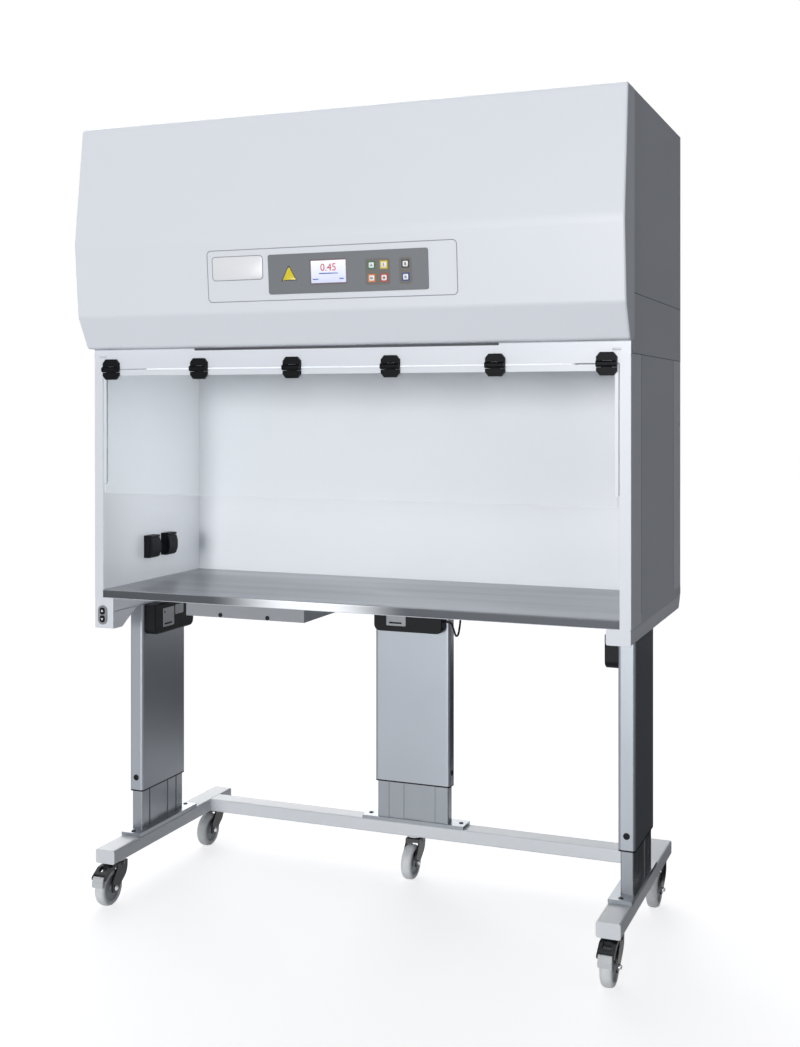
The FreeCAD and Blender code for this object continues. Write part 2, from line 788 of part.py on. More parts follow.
def fluted_outline():
    """The inner column's section: a wide groove and two thin ones on each broad face."""
    grooves = [
        (-flute_place, flute_thin / 2),
        (as_size(0), flute_wide / 2),
        (flute_place, flute_thin / 2),
    ]
    front = [corner(-half_wide, -half_deep, 4)]
    for middle, reach in grooves:
        front.append(corner(middle - reach, -half_deep))
        front.append(corner(middle - reach, flute_depth - half_deep))
        front.append(corner(middle + reach, flute_depth - half_deep))
        front.append(corner(middle + reach, -half_deep))
    front.append(corner(half_wide, -half_deep, 4))
    back = []
    for x, y, radius in front:
        back.append((-x, -y, radius))
    return front + back


def inner_column(name, plate_y):
    """Extruded column with its foot plate and the block that holds the spindle nut."""
    body = new_body(name)
    plate = block(-plate_length / 2, plate_y - tube_width / 2,
                  plate_length / 2, plate_y + tube_width / 2)
    add(body, "XY", [plate], foot_top, plate_top)
    hollow = block(inner_wall - half_wide, inner_wall - half_deep,
                   half_wide - inner_wall, half_deep - inner_wall)
    add(body, "XY", [fluted_outline(), hollow], plate_top, inner_top)
    add(body, "XY", [hollow], inner_top - nut_height, inner_top)
    cut(body, "XY", [disc(0, 0, spindle_radius + running_gap)],
        inner_top - nut_height - 1, inner_top + 1)
    return body


def outer_column(name):
    """Aluminium tube with the end plate that carries the spindle."""
    body = new_body(name)
    wide = column_width / 2
    deep = column_thick / 2
    outline = block(-wide, -deep, wide, deep, column_round)
    hollow = block(column_wall - wide, column_wall - deep, wide - column_wall, deep - column_wall)
    add(body, "XY", [outline, hollow], column_bottom, body_bottom)
    add(body, "XY", [hollow], body_bottom - column_cap, body_bottom)
    cut(body, "XY", [disc(0, 0, spindle_radius + running_gap)],
        body_bottom - column_cap - 1, body_bottom + 1)
    return body


def column_glide(name):
    """Plastic sleeve with a rim, in the lower end of the outer column."""
    body = new_body(name)
    wide = column_width / 2
    deep = column_thick / 2
    bore = block(-half_wide - glide_gap, -half_deep - glide_gap,
                 half_wide + glide_gap, half_deep + glide_gap)
    rim = block(-wide, -deep, wide, deep, column_round)
    sleeve = block(column_wall - wide, column_wall - deep, wide - column_wall, deep - column_wall)
    add(body, "XY", [rim, bore], column_bottom - glide_flange, column_bottom)
    add(body, "XY", [sleeve, bore], column_bottom, column_bottom + glide_height)
    return body


def lifting_spindle(name):
    """Spindle with its thrust collar; the thread is too fine to model."""
    body = new_body(name)
    collar_top = body_bottom - column_cap - 0.3
    add(body, "XY", [disc(0, 0, spindle_radius)], spindle_bottom, body_bottom - 1)
    add(body, "XY", [polygon(0, 0, collar_radius)], collar_top - 10, collar_top)
    return body


def motor_housing(name, face):
    """Moulded housing on one broad face of the outer column, its lower corners round."""
    body = new_body(name)
    half = motor_width / 2
    low = body_bottom - motor_height
    outline = [
        corner(-half, low, motor_round),
        corner(half, low, motor_round),
        corner(half, body_bottom),
        corner(-half, body_bottom),
    ]
    near = column_thick / 2 * face
    far = (column_thick / 2 + motor_thick) * face
    add(body, "XZ", [outline], near, far)
    outer_face = far.value
    soften(body, 3, lambda edge: abs(edge.CenterOfMass.y - outer_face) < 0.01, "Chamfer")
    return body


inner_columns = []
outer_columns = []
glides = []
housings = []
for site, x, y, angle in column_sites:
    if site == "middle":
        plate_y = (rail_front + tube_width / 2) - y
        face = -1
    else:
        plate_y = -(foot_half - side_column) if site == "right" else foot_half - side_column
        face = 1 if site == "right" else -1
    inner = inner_column(site + "_inner", plate_y)
    inner_columns.append(place(inner, x, y, 0, z_axis, angle))
    outer_columns.append(place(outer_column(site + "_outer"), x, y, 0, z_axis, angle))
    glides.append(place(column_glide(site + "_glide"), x, y, 0, z_axis, angle))
    housings.append(place(motor_housing(site + "_motor", face), x, y, 0, z_axis, angle))
    spindle = lifting_spindle(site + "_screw")
    node(site + "_lifting_spindle", place(spindle, x, y))
group("inner_columns", inner_columns)
group("outer_columns", outer_columns)
group("column_glides", glides)
group("motor_housings", housings)


# Carrying tubes, floor pan and worktop

support_inner = body_half - rail_inset - tube_width


def support_tubes():
    """Left, right and rear tubes under the body, the rear corners cut at a slant."""
    tubes = []
    for name, side in sides:
        body = new_body(name + "_support")
        low, high = ordered(support_inner * side, (body_half - rail_inset) * side)
        front = body_front if side > 0 else body_front + sheet_wall
        add(body, "XZ", tube_section(low, body_bottom, high, support_top), front, body_back)
        end = [block(low, body_bottom, high, support_top, tube_round)]
        add(body, "XZ", end, front, front + tube_wall)
        slant = [
            corner(body_back + 1, body_bottom - 1),
            corner(body_back + 1, support_top - 4),
            corner(body_back - 24, body_bottom - 1),
        ]
        cut(body, "YZ", [slant], low - 1, high + 1)
        if side < 0:
            notch = block(switch_place - switch_width / 2, body_bottom - 1,
                          switch_place + switch_width / 2, switch_level + switch_height / 2)
            cut(body, "XZ", [notch], front - 1, front + switch_deep)
        tubes.append(body)
    body = new_body("rear_support")
    front = rear_column - tube_width / 2
    add(body, "YZ", tube_section(front, body_bottom, front + tube_width, support_top),
        -support_inner, support_inner)
    tubes.append(body)
    return tubes


group("support_tubes", support_tubes())

pan = new_body("pan")
tongue_front = body_front + sheet_wall
add(pan, "XY", [[
    corner(-liner_half, tongue_front),
    corner(liner_half, tongue_front),
    corner(liner_half, post_back),
    corner(body_half, post_back),
    corner(body_half, body_back),
    corner(-body_half, body_back),
    corner(-body_half, post_back),
    corner(-liner_half, post_back),
]], support_top, pan_top)
inside = body_half - sheet_wall
add(pan, "XY", [[
    corner(body_half, post_back),
    corner(body_half, body_back),
    corner(-body_half, body_back),
    corner(-body_half, post_back),
    corner(-inside, post_back),
    corner(-inside, body_back - sheet_wall),
    corner(inside, body_back - sheet_wall),
    corner(inside, post_back),
]], pan_top, skirt_top)
node("floor_pan", pan)


def folded_tray(name, plane, outline, first, second, opening, wall=None):
    """A folded sheet panel: a shallow box, open on the side named by its level."""
    wall = sheet_wall if wall is None else wall
    body = new_body(name)
    low, high = ordered(first, second)
    x_low, y_low, x_high, y_high = outline
    add(body, plane, [block(x_low, y_low, x_high, y_high)], low, high)
    inner = block(x_low + wall, y_low + wall, x_high - wall, y_high - wall)
    if opening == "low":
        cut(body, plane, [inner], low - 1, high - wall)
    else:
        cut(body, plane, [inner], low + wall, high + 1)
    return body


top = folded_tray("worktop_tray", "XY", (-worktop_half, body_front, worktop_half, chamber_back),
                  pan_top, worktop_top, "low")
nose = body_front.value
level = worktop_top.value
soften(top, nose_round, lambda edge: is_along(edge, x_axis)
       and abs(edge.CenterOfMass.y - nose) < 0.01 and abs(edge.CenterOfMass.z - level) < 0.01)
node("worktop", top)

control = folded_tray(
    "control_tray", "XY",
    (control_left, body_front + control_set, control_left + control_width,
     body_front + control_set + control_depth),
    support_top - control_height, support_top, "high")
node("control_box", control)


# Switch bracket with its oval switch plate and two buttons

console = new_body("console")
console_right = console_left + console_width
console_front = body_front
add(console, "YZ", [[
    corner(console_front, console_bottom, 2),
    corner(console_front + console_flat, console_bottom, 4),
    corner(console_front + console_depth, body_bottom),
    corner(console_front + sheet_wall, body_bottom),
    corner(console_front + sheet_wall, support_top),
    corner(console_front, support_top),
]], console_left, console_right)
cut(console, "YZ", [[
    corner(console_front + sheet_wall, console_bottom + sheet_wall),
    corner(console_front + console_flat - 1, console_bottom + sheet_wall, 3),
    corner(console_front + console_depth - 4, body_bottom),
    corner(console_front + sheet_wall, body_bottom),
]], console_left + sheet_wall, console_right - sheet_wall)
switch_half = switch_width / 2
neck_half = switch_half - 3


def oval(half_wide_size, half_high_size, middle_x, middle_z):
    """An upright oval: a rectangle with round ends."""
    radius = half_wide_size - 0.01
    return block(middle_x - half_wide_size, middle_z - half_high_size,
                 middle_x + half_wide_size, middle_z + half_high_size, radius)


neck = oval(neck_half, switch_height / 2 - 3, switch_place, switch_level)
cut(console, "XZ", [neck], console_front - 1, console_front + sheet_wall)
node("switch_bracket", console)

switch = new_body("switch")
plate_front = console_front - switch_thick
add(switch, "XZ", [oval(switch_half, switch_height / 2, switch_place, switch_level)],
    plate_front, console_front)
add(switch, "XZ", [neck], console_front, console_front + switch_deep)
buttons = {
    "up": switch_level + button_split / 2,
    "down": switch_level - button_split / 2,
}
for name, z in buttons.items():
    well = block(switch_place - button_width / 2 - key_gap, z - button_height / 2 - key_gap,
                 switch_place + button_width / 2 + key_gap, z + button_height / 2 + key_gap, 7)
    button_back = plate_front - button_proud + button_deep
    cut(switch, "XZ", [well], plate_front - 1, button_back + button_travel + 0.5)
node("switch_plate", switch)
for name, z in buttons.items():
    body = new_body(name + "_push")
    face = block(switch_place - button_width / 2, z - button_height / 2,
                 switch_place + button_width / 2, z + button_height / 2, 7)
    add(body, "XZ", [face], plate_front - button_proud, button_back)
    soften(body, 1, lambda edge: abs(
        edge.CenterOfMass.y - (plate_front - button_proud).value) < 0.01, "Chamfer")
    node(name + "_button", body)


# Chamber: white liner, posts, side and back panels, header

liner = new_body("liner")
liner_back = chamber_back + sheet_wall
liner_front = body_front + sheet_wall
add(liner, "XY", [[
    corner(-liner_half, liner_front),
    corner(-worktop_half, liner_front),
    corner(-worktop_half, chamber_back),
    corner(worktop_half, chamber_back),
    corner(worktop_half, liner_front),
    corner(liner_half, liner_front),
    corner(liner_half, liner_back),
    corner(-liner_half, liner_back),
]], pan_top, chamber_top)
node("chamber_liner", liner)


def front_post(name, side):
    """Folded channel: narrow front face, deep outer side and an inner return."""
    body = new_body(name)
    outer = body_half * side
    inner = liner_half * side
    wall = sheet_wall * side
    lip = inner + post_lip * side
    add(body, "XY", [[
        corner(inner, body_front),
        corner(outer, body_front, 2),
        corner(outer, post_back),
        corner(lip, post_back),
        corner(lip, post_back - sheet_wall),
        corner(outer - wall, post_back - sheet_wall),
        corner(outer - wall, body_front + sheet_wall),
        corner(inner + wall, body_front + sheet_wall),
        corner(inner + wall, post_back - 20),
        corner(inner, post_back - 20),
    ]], support_top, chamber_top)
    return body


def rear_post_fold(name, side):
    """Folded angle at the rear corner."""
    body = new_body(name)
    outer = body_half * side
    wall = sheet_wall * side
    fold = outer - rear_fold * side
    add(body, "XY", [[
        corner(outer, rear_post),
        corner(outer, body_back, 2),
        corner(fold, body_back),
        corner(fold, body_back - sheet_wall),
        corner(outer - wall, body_back - sheet_wall),
        corner(outer - wall, rear_post + sheet_wall),
        corner(outer - wall * 8, rear_post + sheet_wall),
        corner(outer - wall * 8, rear_post),
    ]], skirt_top, chamber_top)
    return body


posts = []
for name, side in sides:
    posts.append(front_post(name + "_front_post", side))
    posts.append(rear_post_fold(name + "_rear_post", side))
group("corner_posts", posts)


def side_tray(name, side, y_low, z_low, y_high, z_high):
    """A folded side panel, its edges turned inwards."""
    opening = "high" if side < 0 else "low"
    outer = body_half * side
    return folded_tray(name, "YZ", (y_low, z_low, y_high, z_high), outer,
                       outer - cassette * side, opening)


hood_back_edge = body_front + hood_lap
side_panels = []
for name, side in sides:
    side_panels.append(side_tray(
        name + "_chamber_panel", side, post_back, skirt_top, rear_post, chamber_top))
    side_panels.append(side_tray(
        name + "_hood_band", side, hood_back_edge, chamber_top, body_back, band_top))
    side_panels.append(side_tray(
        name + "_service_panel", side, hood_back_edge, band_top, body_back, top_sheet))
group("side_panels", side_panels)

back_lower = folded_tray("lower_back", "XZ", (rear_fold - body_half, skirt_top,
                                              body_half - rear_fold, chamber_top),
                         body_back - cassette, body_back, "low")
back_upper = folded_tray("upper_back", "XZ", (cassette - body_half, chamber_top,
                                              body_half - cassette, top_sheet),
                         body_back - cassette, body_back, "low")
group("back_panels", [back_lower, back_upper])

header = new_body("header_fold")
add(header, "YZ", [[
    corner(body_front, chamber_top),
    corner(body_front, cover_bottom, 2),
    corner(body_front + header_shelf, cover_bottom),
    corner(body_front + header_shelf, cover_bottom - sheet_wall),
    corner(body_front + sheet_wall, cover_bottom - sheet_wall),
    corner(body_front + sheet_wall, chamber_top + sheet_wall),
    corner(body_front + header_shelf, chamber_top + sheet_wall),
    corner(body_front + header_shelf, chamber_top),
]], -body_half, body_half)
add(header, "XZ", [block(-liner_half, chamber_top - header_lip, liner_half, chamber_top)],
    body_front, body_front + sheet_wall)
node("header", header)


# Visor: clear panel in a white frame, on six hinges

hinge_y = body_front - leaf_thick
panel_front = body_front + visor_skin
panel_back = panel_front + visor_thick
frame_top = hinge_line - 1
frame = new_body("visor_surround")
add(frame, "XZ", [[
    corner(-visor_half, strip_bottom, 4),
    corner(strip_width - visor_half, strip_bottom, 4),
    corner(strip_width - visor_half, frame_top - rail_height, 3),
    corner(visor_half - strip_width, frame_top - rail_height, 3),
    corner(visor_half - strip_width, strip_bottom, 4),
    corner(visor_half, strip_bottom, 4),
    corner(visor_half, frame_top),
    corner(-visor_half, frame_top),
]], body_front, body_front + frame_thick)
pane_half = visor_half - 3
pane_top = frame_top - 4
pane = block(-pane_half, visor_bottom, pane_half, pane_top)
cut(frame, "XZ", [pane], panel_front, panel_back)
node("visor_frame", frame)

clear = new_body("visor_pane")
add(clear, "XZ", [pane], panel_front, panel_back)
node("visor_panel", clear)


def hinge_half(name, up):
    """One half of a hinge: a tapered leaf and its knuckles, at the body's own middle."""
    body = new_body(name)
    half = hinge_width / 2
    knuckle = hinge_width / 4
    sign = 1 if up else -1
    near = (knuckle_radius + knuckle_gap) * sign
    far = hinge_leaf * sign
    leaf = [
        corner(-half, near),
        corner(half, near),
        corner(half, near + (far - near) * 0.45),
        corner(half - 9, far),
        corner(9 - half, far),
        corner(-half, near + (far - near) * 0.45),
    ]
    add(body, "XZ", [leaf], 0, leaf_thick)
    if up:
        spans = [(-half, -knuckle), (knuckle, half)]
    else:
        spans = [(knuckle_gap - knuckle, knuckle - knuckle_gap)]
    for low, high in spans:
        barrel = [polygon(0, 0, knuckle_radius)]
        add(body, "YZ", barrel, low, high)
        add(body, "XZ", [block(low, 0, high, near * 1.2)], 0, leaf_thick)
    if up:
        add(body, "YZ", [disc(0, 0, hinge_pin)], -half, half)
    else:
        cut(body, "YZ", [disc(0, 0, hinge_pin + running_gap)], -half, half)
    return body


upper_leaves = []
lower_leaves = []
for index in range(6):
    x = hinge_pitch * (index - 2.5)
    upper = hinge_half("upper_leaf_" + str(index + 1), True)
    upper_leaves.append(place(upper, x, hinge_y, hinge_line))
    lower = hinge_half("lower_leaf_" + str(index + 1), False)
    lower_leaves.append(place(lower, x, hinge_y, hinge_line))
group("hinge_upper_leaves", upper_leaves)
group("hinge_lower_leaves", lower_leaves)


# Hood: moulded front cover, top, control panel with its keys

cover = new_body("cover")
cover_half = body_half + hood_side
add(cover, "YZ", [[
    corner(hood_back_edge, cover_bottom),
    corner(hood_back_edge, hood_top),
    corner(body_front - crown_reach, hood_top, crown_round),
    corner(body_front - hood_reach, nose_line, nose_curve),
    corner(body_front - bend_reach, bend_line, bend_round),
    corner(body_front - low_reach, cover_bottom, hem_round),
]], -cover_half, cover_half)
end_x = cover_half.value
edge_y = hood_back_edge.value
soften(cover, 6, lambda edge: abs(abs(edge.CenterOfMass.x) - end_x) < 0.01
       and edge.CenterOfMass.y < edge_y - 0.01)
cut(cover, "YZ", [[
    corner(hood_back_edge + 1, cover_bottom + hood_wall),
    corner(hood_back_edge + 1, hood_top - hood_wall),
    corner(body_front - crown_reach + hood_wall, hood_top - hood_wall, crown_round - hood_wall),
    corner(body_front - hood_reach + hood_wall, nose_line, nose_curve),
    corner(body_front - bend_reach + hood_wall, bend_line, bend_round),
    corner(body_front - low_reach + hood_wall, cover_bottom + hood_wall, hem_round - hood_wall),
]], hood_wall - cover_half, cover_half - hood_wall)
node("hood_front_cover", cover)

rise = (nose_line - bend_line).value
lean = (hood_reach - bend_reach).value
facet_angle = 90 + math.degrees(math.atan2(lean, rise))


def on_facet(thing):
    """Stand a part on the hood's middle facet, its Z outwards and its Y up the slope."""
    return place(thing, 0, body_front - bend_reach, bend_line, x_axis, facet_angle)


panel = new_body("panel")
add(panel, "XY", [block(panel_left, panel_low, panel_left + panel_width, panel_low + panel_high,
                        panel_round)], 0, panel_thick)
cut(panel, "XY", [block(screen_left, screen_low, screen_left + screen_width,
                        screen_low + screen_high)], panel_thick - screen_thick, panel_thick + 1)
key_places = [
    ("key_one", key_columns[0], key_high_row),
    ("key_two", key_columns[1], key_high_row),
    ("key_three", key_columns[0], key_low_row),
    ("key_four", key_columns[1], key_low_row),
    ("key_five", key_columns[2], key_high_row),
    ("key_six", key_columns[2], key_low_row),
]
key_half = key_size / 2
hole_half = key_half + key_gap
key_holes = []
for name, x, y in key_places:
    key_holes.append(block(x - hole_half, y - hole_half, x + hole_half, y + hole_half))
cut(panel, "XY", key_holes, -1, panel_thick + 1)
node("control_panel", on_facet(panel))

glass = new_body("glass")
add(glass, "XY", [block(screen_left, screen_low, screen_left + screen_width,
                        screen_low + screen_high)], panel_thick - screen_thick, panel_thick)
node("display_screen", on_facet(glass))

for name, x, y in key_places:
    key = new_body(name + "_cap")
    add(key, "XY", [block(x - key_half, y - key_half, x + key_half, y + key_half)],
        key_lift, panel_thick + key_proud)
    node(name, on_facet(key))

top_cover = new_body("top_cover_sheet")
add(top_cover, "XY", [block(-body_half, hood_back_edge, body_half, body_back)],
    top_sheet, hood_top)
field_pitch = prefilter_half * 2 / slot_fields
slot_front = body_front + filter_inset + 60
slots = []
for field in range(slot_fields):
    x = field_pitch * (field - 1)
    slots.append(block(x - slot_length, slot_front, x + slot_length, slot_front + slot_width))
first_slots = cut(top_cover, "XY", slots, top_sheet - 1, hood_top + 1)
repeat(top_cover, first_slots, "Y_Axis", slot_pitch * (slot_rows - 1), slot_rows)
node("top_cover", top_cover)


# Air path: prefilter, fan deck, fan, main filter, diffuser and lamp

felt = new_body("felt")
felt_front = slot_front - 30
add(felt, "XY", [block(-prefilter_half, felt_front, prefilter_half,
                       felt_front + prefilter_depth)],
    top_sheet - prefilter_thick, top_sheet)
node("prefilter", felt)

deck = new_body("deck")
deck_half = body_half - sheet_wall
deck_front = hood_back_edge + sheet_wall
deck_back = body_back - cassette
deck_top = deck_level + sheet_wall
add(deck, "XY", [block(-deck_half, deck_front, deck_half, deck_back)], deck_level, deck_top)
add(deck, "XY", [
    block(-deck_half, deck_front, deck_half, deck_back),
    block(sheet_wall - deck_half, deck_front + sheet_wall,
          deck_half - sheet_wall, deck_back - sheet_wall),
], deck_level - deck_flange, deck_level)
fan_y = body_front + fan_set
add(deck, "XY", [disc(0, fan_y, inlet_radius + 3)], deck_level - inlet_depth, deck_level)
cut(deck, "XY", [disc(0, fan_y, inlet_radius)], deck_level - inlet_depth - 1, deck_top + 1)
node("fan_deck", deck)

wheel_top = deck_level - inlet_depth - wheel_gap
wheel_low = wheel_top - wheel_height
fan = new_body("fan_rotor")
turn(fan, [[
    corner(shaft_radius + running_gap, wheel_low),
    corner(wheel_radius, wheel_low),
    corner(wheel_radius, wheel_low + 3),
    corner(hub_radius + 12, wheel_low + 3),
    corner(hub_radius, wheel_low + 34),
    corner(shaft_radius + running_gap, wheel_low + 34),
]])
turn(fan, [[
    corner(inlet_radius + 2, wheel_top - 4),
    corner(wheel_radius, wheel_top - 4),
    corner(wheel_radius, wheel_top),
    corner(inlet_radius + 2, wheel_top),
]])
blade_root = inlet_radius - 18
blade_middle = wheel_radius * 0.79
blade_tip = wheel_radius * 0.89
blades = [fan]
for index in range(blade_count):
    blade = new_body("fan_blade_" + str(index + 1))
    add(blade, "XY", [[
        corner(blade_root, 0),
        corner(blade_middle, -blade_sweep * 0.42),
        corner(blade_tip, -blade_sweep),
        corner(blade_tip + blade_thick, -blade_sweep),
        corner(blade_middle + blade_thick, -blade_sweep * 0.42),
        corner(blade_root + 2, blade_thick),
    ]], wheel_low + 1, wheel_top - 2)
    blade.Placement = Placement(Vector(), Rotation(z_axis, 360 * index / blade_count))
    blades.append(blade)
fan = join("fan_welded", blades)
node("fan_wheel", place(fan, 0, fan_y))

motor = new_body("fan_drive")
motor_top = wheel_low - 6
motor_low = motor_top - motor_drop
turn(motor, [[
    corner(0, motor_low),
    corner(motor_radius - 8, motor_low),
    corner(motor_radius, motor_low + 10),
    corner(motor_radius, motor_top),
    corner(shaft_radius + 4, motor_top),
    corner(shaft_radius + 4, wheel_low - 0.3),
    corner(shaft_radius, wheel_low - 0.3),
    corner(shaft_radius, wheel_low + 40),
    corner(0, wheel_low + 40),
]])
spider_low = motor_low + 20
for x_sign, y_sign in ((1, 1), (1, -1), (-1, 1), (-1, -1)):
    x = strut_ring * x_sign * 0.75
    y = strut_ring * y_sign * 0.75
    strut = block(x - strut_radius, y - strut_radius, x + strut_radius, y + strut_radius)
    add(motor, "XY", [strut], spider_low, deck_level)
arm = strut_ring * 0.75 + strut_radius
add(motor, "XY", [block(-arm, -arm, arm, arm),
                  disc(0, 0, motor_radius - 1)], spider_low, spider_low + 3)
node("fan_motor", place(motor, 0, fan_y))

ceiling = new_body("ceiling")
ceiling_half = body_half - cassette
ceiling_top = chamber_top + sheet_wall
add(ceiling, "XY", [block(-ceiling_half, body_front + header_shelf, ceiling_half,
                          body_back - cassette)], chamber_top, ceiling_top)
filter_front = body_front + filter_inset
vents = []
vent_columns = 4
vent_rows = 12
vent_front = filter_front + filter_rim + vent_pitch / 2
for column in range(vent_columns):
    x = (filter_half - filter_rim) * 2 / vent_columns * (column + 0.5 - vent_columns / 2)
    vents.append(block(x - vent_length / 2, vent_front,
                       x + vent_length / 2, vent_front + vent_width))
first_vents = cut(ceiling, "XY", vents, chamber_top - 1, ceiling_top + 1)
repeat(ceiling, first_vents, "Y_Axis", vent_pitch * (vent_rows - 1), vent_rows)
node("diffuser", ceiling)


def pleated_filter():
    """Filter frame with its paper folded to and fro across the whole width."""
    low = ceiling_top.value
    high = low + filter_height.value
    half = filter_half.value
    front = filter_front.value
    depth = filter_depth.value
    rim = filter_rim.value
    outer = Part.makeBox(2 * half, depth, high - low, Vector(-half, front, low))
    hollow = Part.makeBox(2 * (half - rim), depth - 2 * rim, high - low + 2,
                          Vector(rim - half, front + rim, low - 1))
    folds = int((2 * (half - rim)) / pleat_pitch.value)
    step = 2 * (half - rim) / folds
    thick = pleat_thick.value
    upper = []
    lower = []
    for index in range(2 * folds + 1):
        x = rim - half + index * step / 2
        z = low + 8 if index % 2 == 0 else high - 12 - thick
        upper.append(Vector(x, front + rim, z + thick * 1.6))
        lower.append(Vector(x, front + rim, z))
    ribbon = Part.Face(Part.makePolygon(upper + lower[::-1] + [upper[0]]))
    paper = ribbon.extrude(Vector(0, depth - 2 * rim, 0))
    return outer.cut(hollow).fuse(paper)


main_filter = document.addObject("Part::Feature", "main_filter")
main_filter.Shape = pleated_filter()
node("main_filter", main_filter)

lamp = new_body("lamp_strip")
lamp_front = body_front + header_shelf + 4
add(lamp, "YZ", [[
    corner(lamp_front, chamber_top),
    corner(lamp_front, chamber_top - lamp_height * 0.4),
    corner(lamp_front + lamp_depth * 0.2, chamber_top - lamp_height, 5),
    corner(lamp_front + lamp_depth * 0.8, chamber_top - lamp_height, 5),
    corner(lamp_front + lamp_depth, chamber_top - lamp_height * 0.4),
    corner(lamp_front + lamp_depth, chamber_top),
]], -lamp_half, lamp_half)
node("chamber_lamp", lamp)


# Power sockets on the left wall, their flip lids, and the mains inlet

wall_x = -worktop_half
socket_face = wall_x + socket_thick
socket_low = socket_level - socket_height / 2
socket_high = socket_level + socket_height / 2
lid_axis_x = socket_face + lid_barrel + lid_gap
lid_axis_z = socket_high - lid_barrel
ear = socket_width / 2 - 2


def socket_base(name, y):
    """Moulded socket with its round recess and the two ears of the lid's hinge."""
    body = new_body(name)
    half = socket_width / 2
    add(body, "YZ", [block(y - half, socket_low, y + half, socket_high)],
        wall_x, socket_face)
    cut(body, "YZ", [disc(y, socket_level - 4, socket_bore)],
        socket_face - socket_deep, socket_face + 1)
    for low, high in ((y - ear, y - ear + 6), (y + ear - 6, y + ear)):
        lug = block(socket_face - 2, lid_axis_z - lid_barrel,
                    lid_axis_x + lid_barrel, lid_axis_z + lid_barrel, lid_barrel - 0.05)
        add(body, "XZ", [lug], low, high)
    add(body, "XZ", [disc(lid_axis_x, lid_axis_z, lid_pin)], y - ear, y + ear)
    return body


def socket_lid(name, y):
    """Domed flip lid, its barrel on the pin between the ears."""
    body = new_body(name)
    half = socket_width / 2 - 2
    back = socket_face + lid_gap
    front = back + lid_thick
    dome = [
        corner(back, socket_low + 3),
        corner(back, lid_axis_z - lid_barrel - 1),
        corner(back + lid_thick * 0.55, lid_axis_z - lid_barrel - 1),
        corner(front, socket_level + 8, 12),
        corner(front, socket_level - 12, 8),
        corner(back + lid_thick * 0.45, socket_low + 3),
    ]
    add(body, "XZ", [dome], y - half, y + half)
    arm = ear - 6.5
    add(body, "XZ", [disc(lid_axis_x, lid_axis_z, lid_barrel)], y - arm, y + arm)
    link = block(lid_axis_x - 1.5, lid_axis_z - lid_barrel - 4, lid_axis_x + 1.5, lid_axis_z)
    add(body, "XZ", [link], y - arm, y + arm)
    cut(body, "XZ", [disc(lid_axis_x, lid_axis_z, lid_pin + running_gap)], y - arm - 1, y + arm + 1)
    return body


sockets = []
for index, name in enumerate(("front", "rear")):
    y = body_front + socket_set + socket_pitch * index
    sockets.append(socket_base(name + "_socket_base", y))
    node(name + "_socket_lid", socket_lid(name + "_lid", y))
inlet = new_body("mains_inlet")
inlet_y = body_front + control_set + control_depth
inlet_x = control_left + 60
inlet_z = support_top - control_height / 2
add(inlet, "XZ", [block(inlet_x - inlet_width / 2, inlet_z - inlet_height / 2,
                        inlet_x + inlet_width / 2, inlet_z + inlet_height / 2)],
    inlet_y, inlet_y + inlet_thick)
cut(inlet, "XZ", [block(inlet_x - 12, inlet_z - 8, inlet_x + 12, inlet_z + 8)],
    inlet_y + inlet_thick - 15, inlet_y + inlet_thick + 1)
group("power_sockets", sockets + [inlet])


# Lead from the middle motor, round its column and up into the rear tube


def lead_path():
    """Straight runs joined by arcs that touch them, from gland to gland."""
    start_x = motor_width.value / 2
    y_front = (rail_front - motor_thick / 2).value
    y_behind = (rail_front + column_thick + 14).value
    high = body_bottom.value
    out_x = (column_width / 2).value + 14
    return [
        Vector(start_x, y_front, high - 52),
        Vector(start_x + 22, y_front, high - 52),
        Vector(out_x, y_front + 46, high - 112),
        Vector(out_x, y_behind, high - 60),
        Vector(out_x, y_behind, high),
    ]


def rounded_wire(points):
    """Join straight runs with arcs whose radius the two runs allow."""
    edges = []
    last = points[0]
    for before, here, after in zip(points, points[1:], points[2:]):
        back = before - here
        ahead = after - here
        shorter = min(back.Length, ahead.Length)
        reach = 0.45 * shorter
        back.normalize()
        ahead.normalize()
        bend = math.pi - back.getAngle(ahead)
        radius = reach / math.tan(bend / 2)
        print("lead bend radius", round(radius, 1))
        entry = here + back * reach
        leave = here + ahead * reach
        middle = back + ahead
        middle.normalize()
        centre = here + middle * math.hypot(radius, reach)
        crest = centre - middle * radius
        edges.append(Part.LineSegment(last, entry).toShape())
        edges.append(Part.Arc(entry, crest, leave).toShape())
        last = leave
    edges.append(Part.LineSegment(last, points[-1]).toShape())
    return Part.Wire(edges)


def motor_lead():
    """The lead, drawn with flat sides to keep its surface simple."""
    path = rounded_wire(lead_path())
    first = path.Edges[0]
    start = first.valueAt(first.FirstParameter)
    along = Rotation(z_axis, first.tangentAt(first.FirstParameter))
    outline = []
    for index in range(lead_sides + 1):
        turned = math.radians(360 * (index + 0.5) / lead_sides)
        spoke = Vector(math.cos(turned), math.sin(turned), 0) * lead_radius.value
        outline.append(start + along.multVec(spoke))
    tube = path.makePipeShell([Part.makePolygon(outline)], True, False)
    area = lead_sides / 2 * lead_radius.value ** 2 * math.sin(math.radians(360 / lead_sides))
    expected = area * path.Length
    if abs(tube.Volume - expected) > 0.01 * expected:
        raise ValueError("the lead's volume is off")
    return tube


lead = document.addObject("Part::Feature", "lead")
lead.Shape = motor_lead()
node("motor_lead", lead)


# Check every object, then write one file for each sub-part

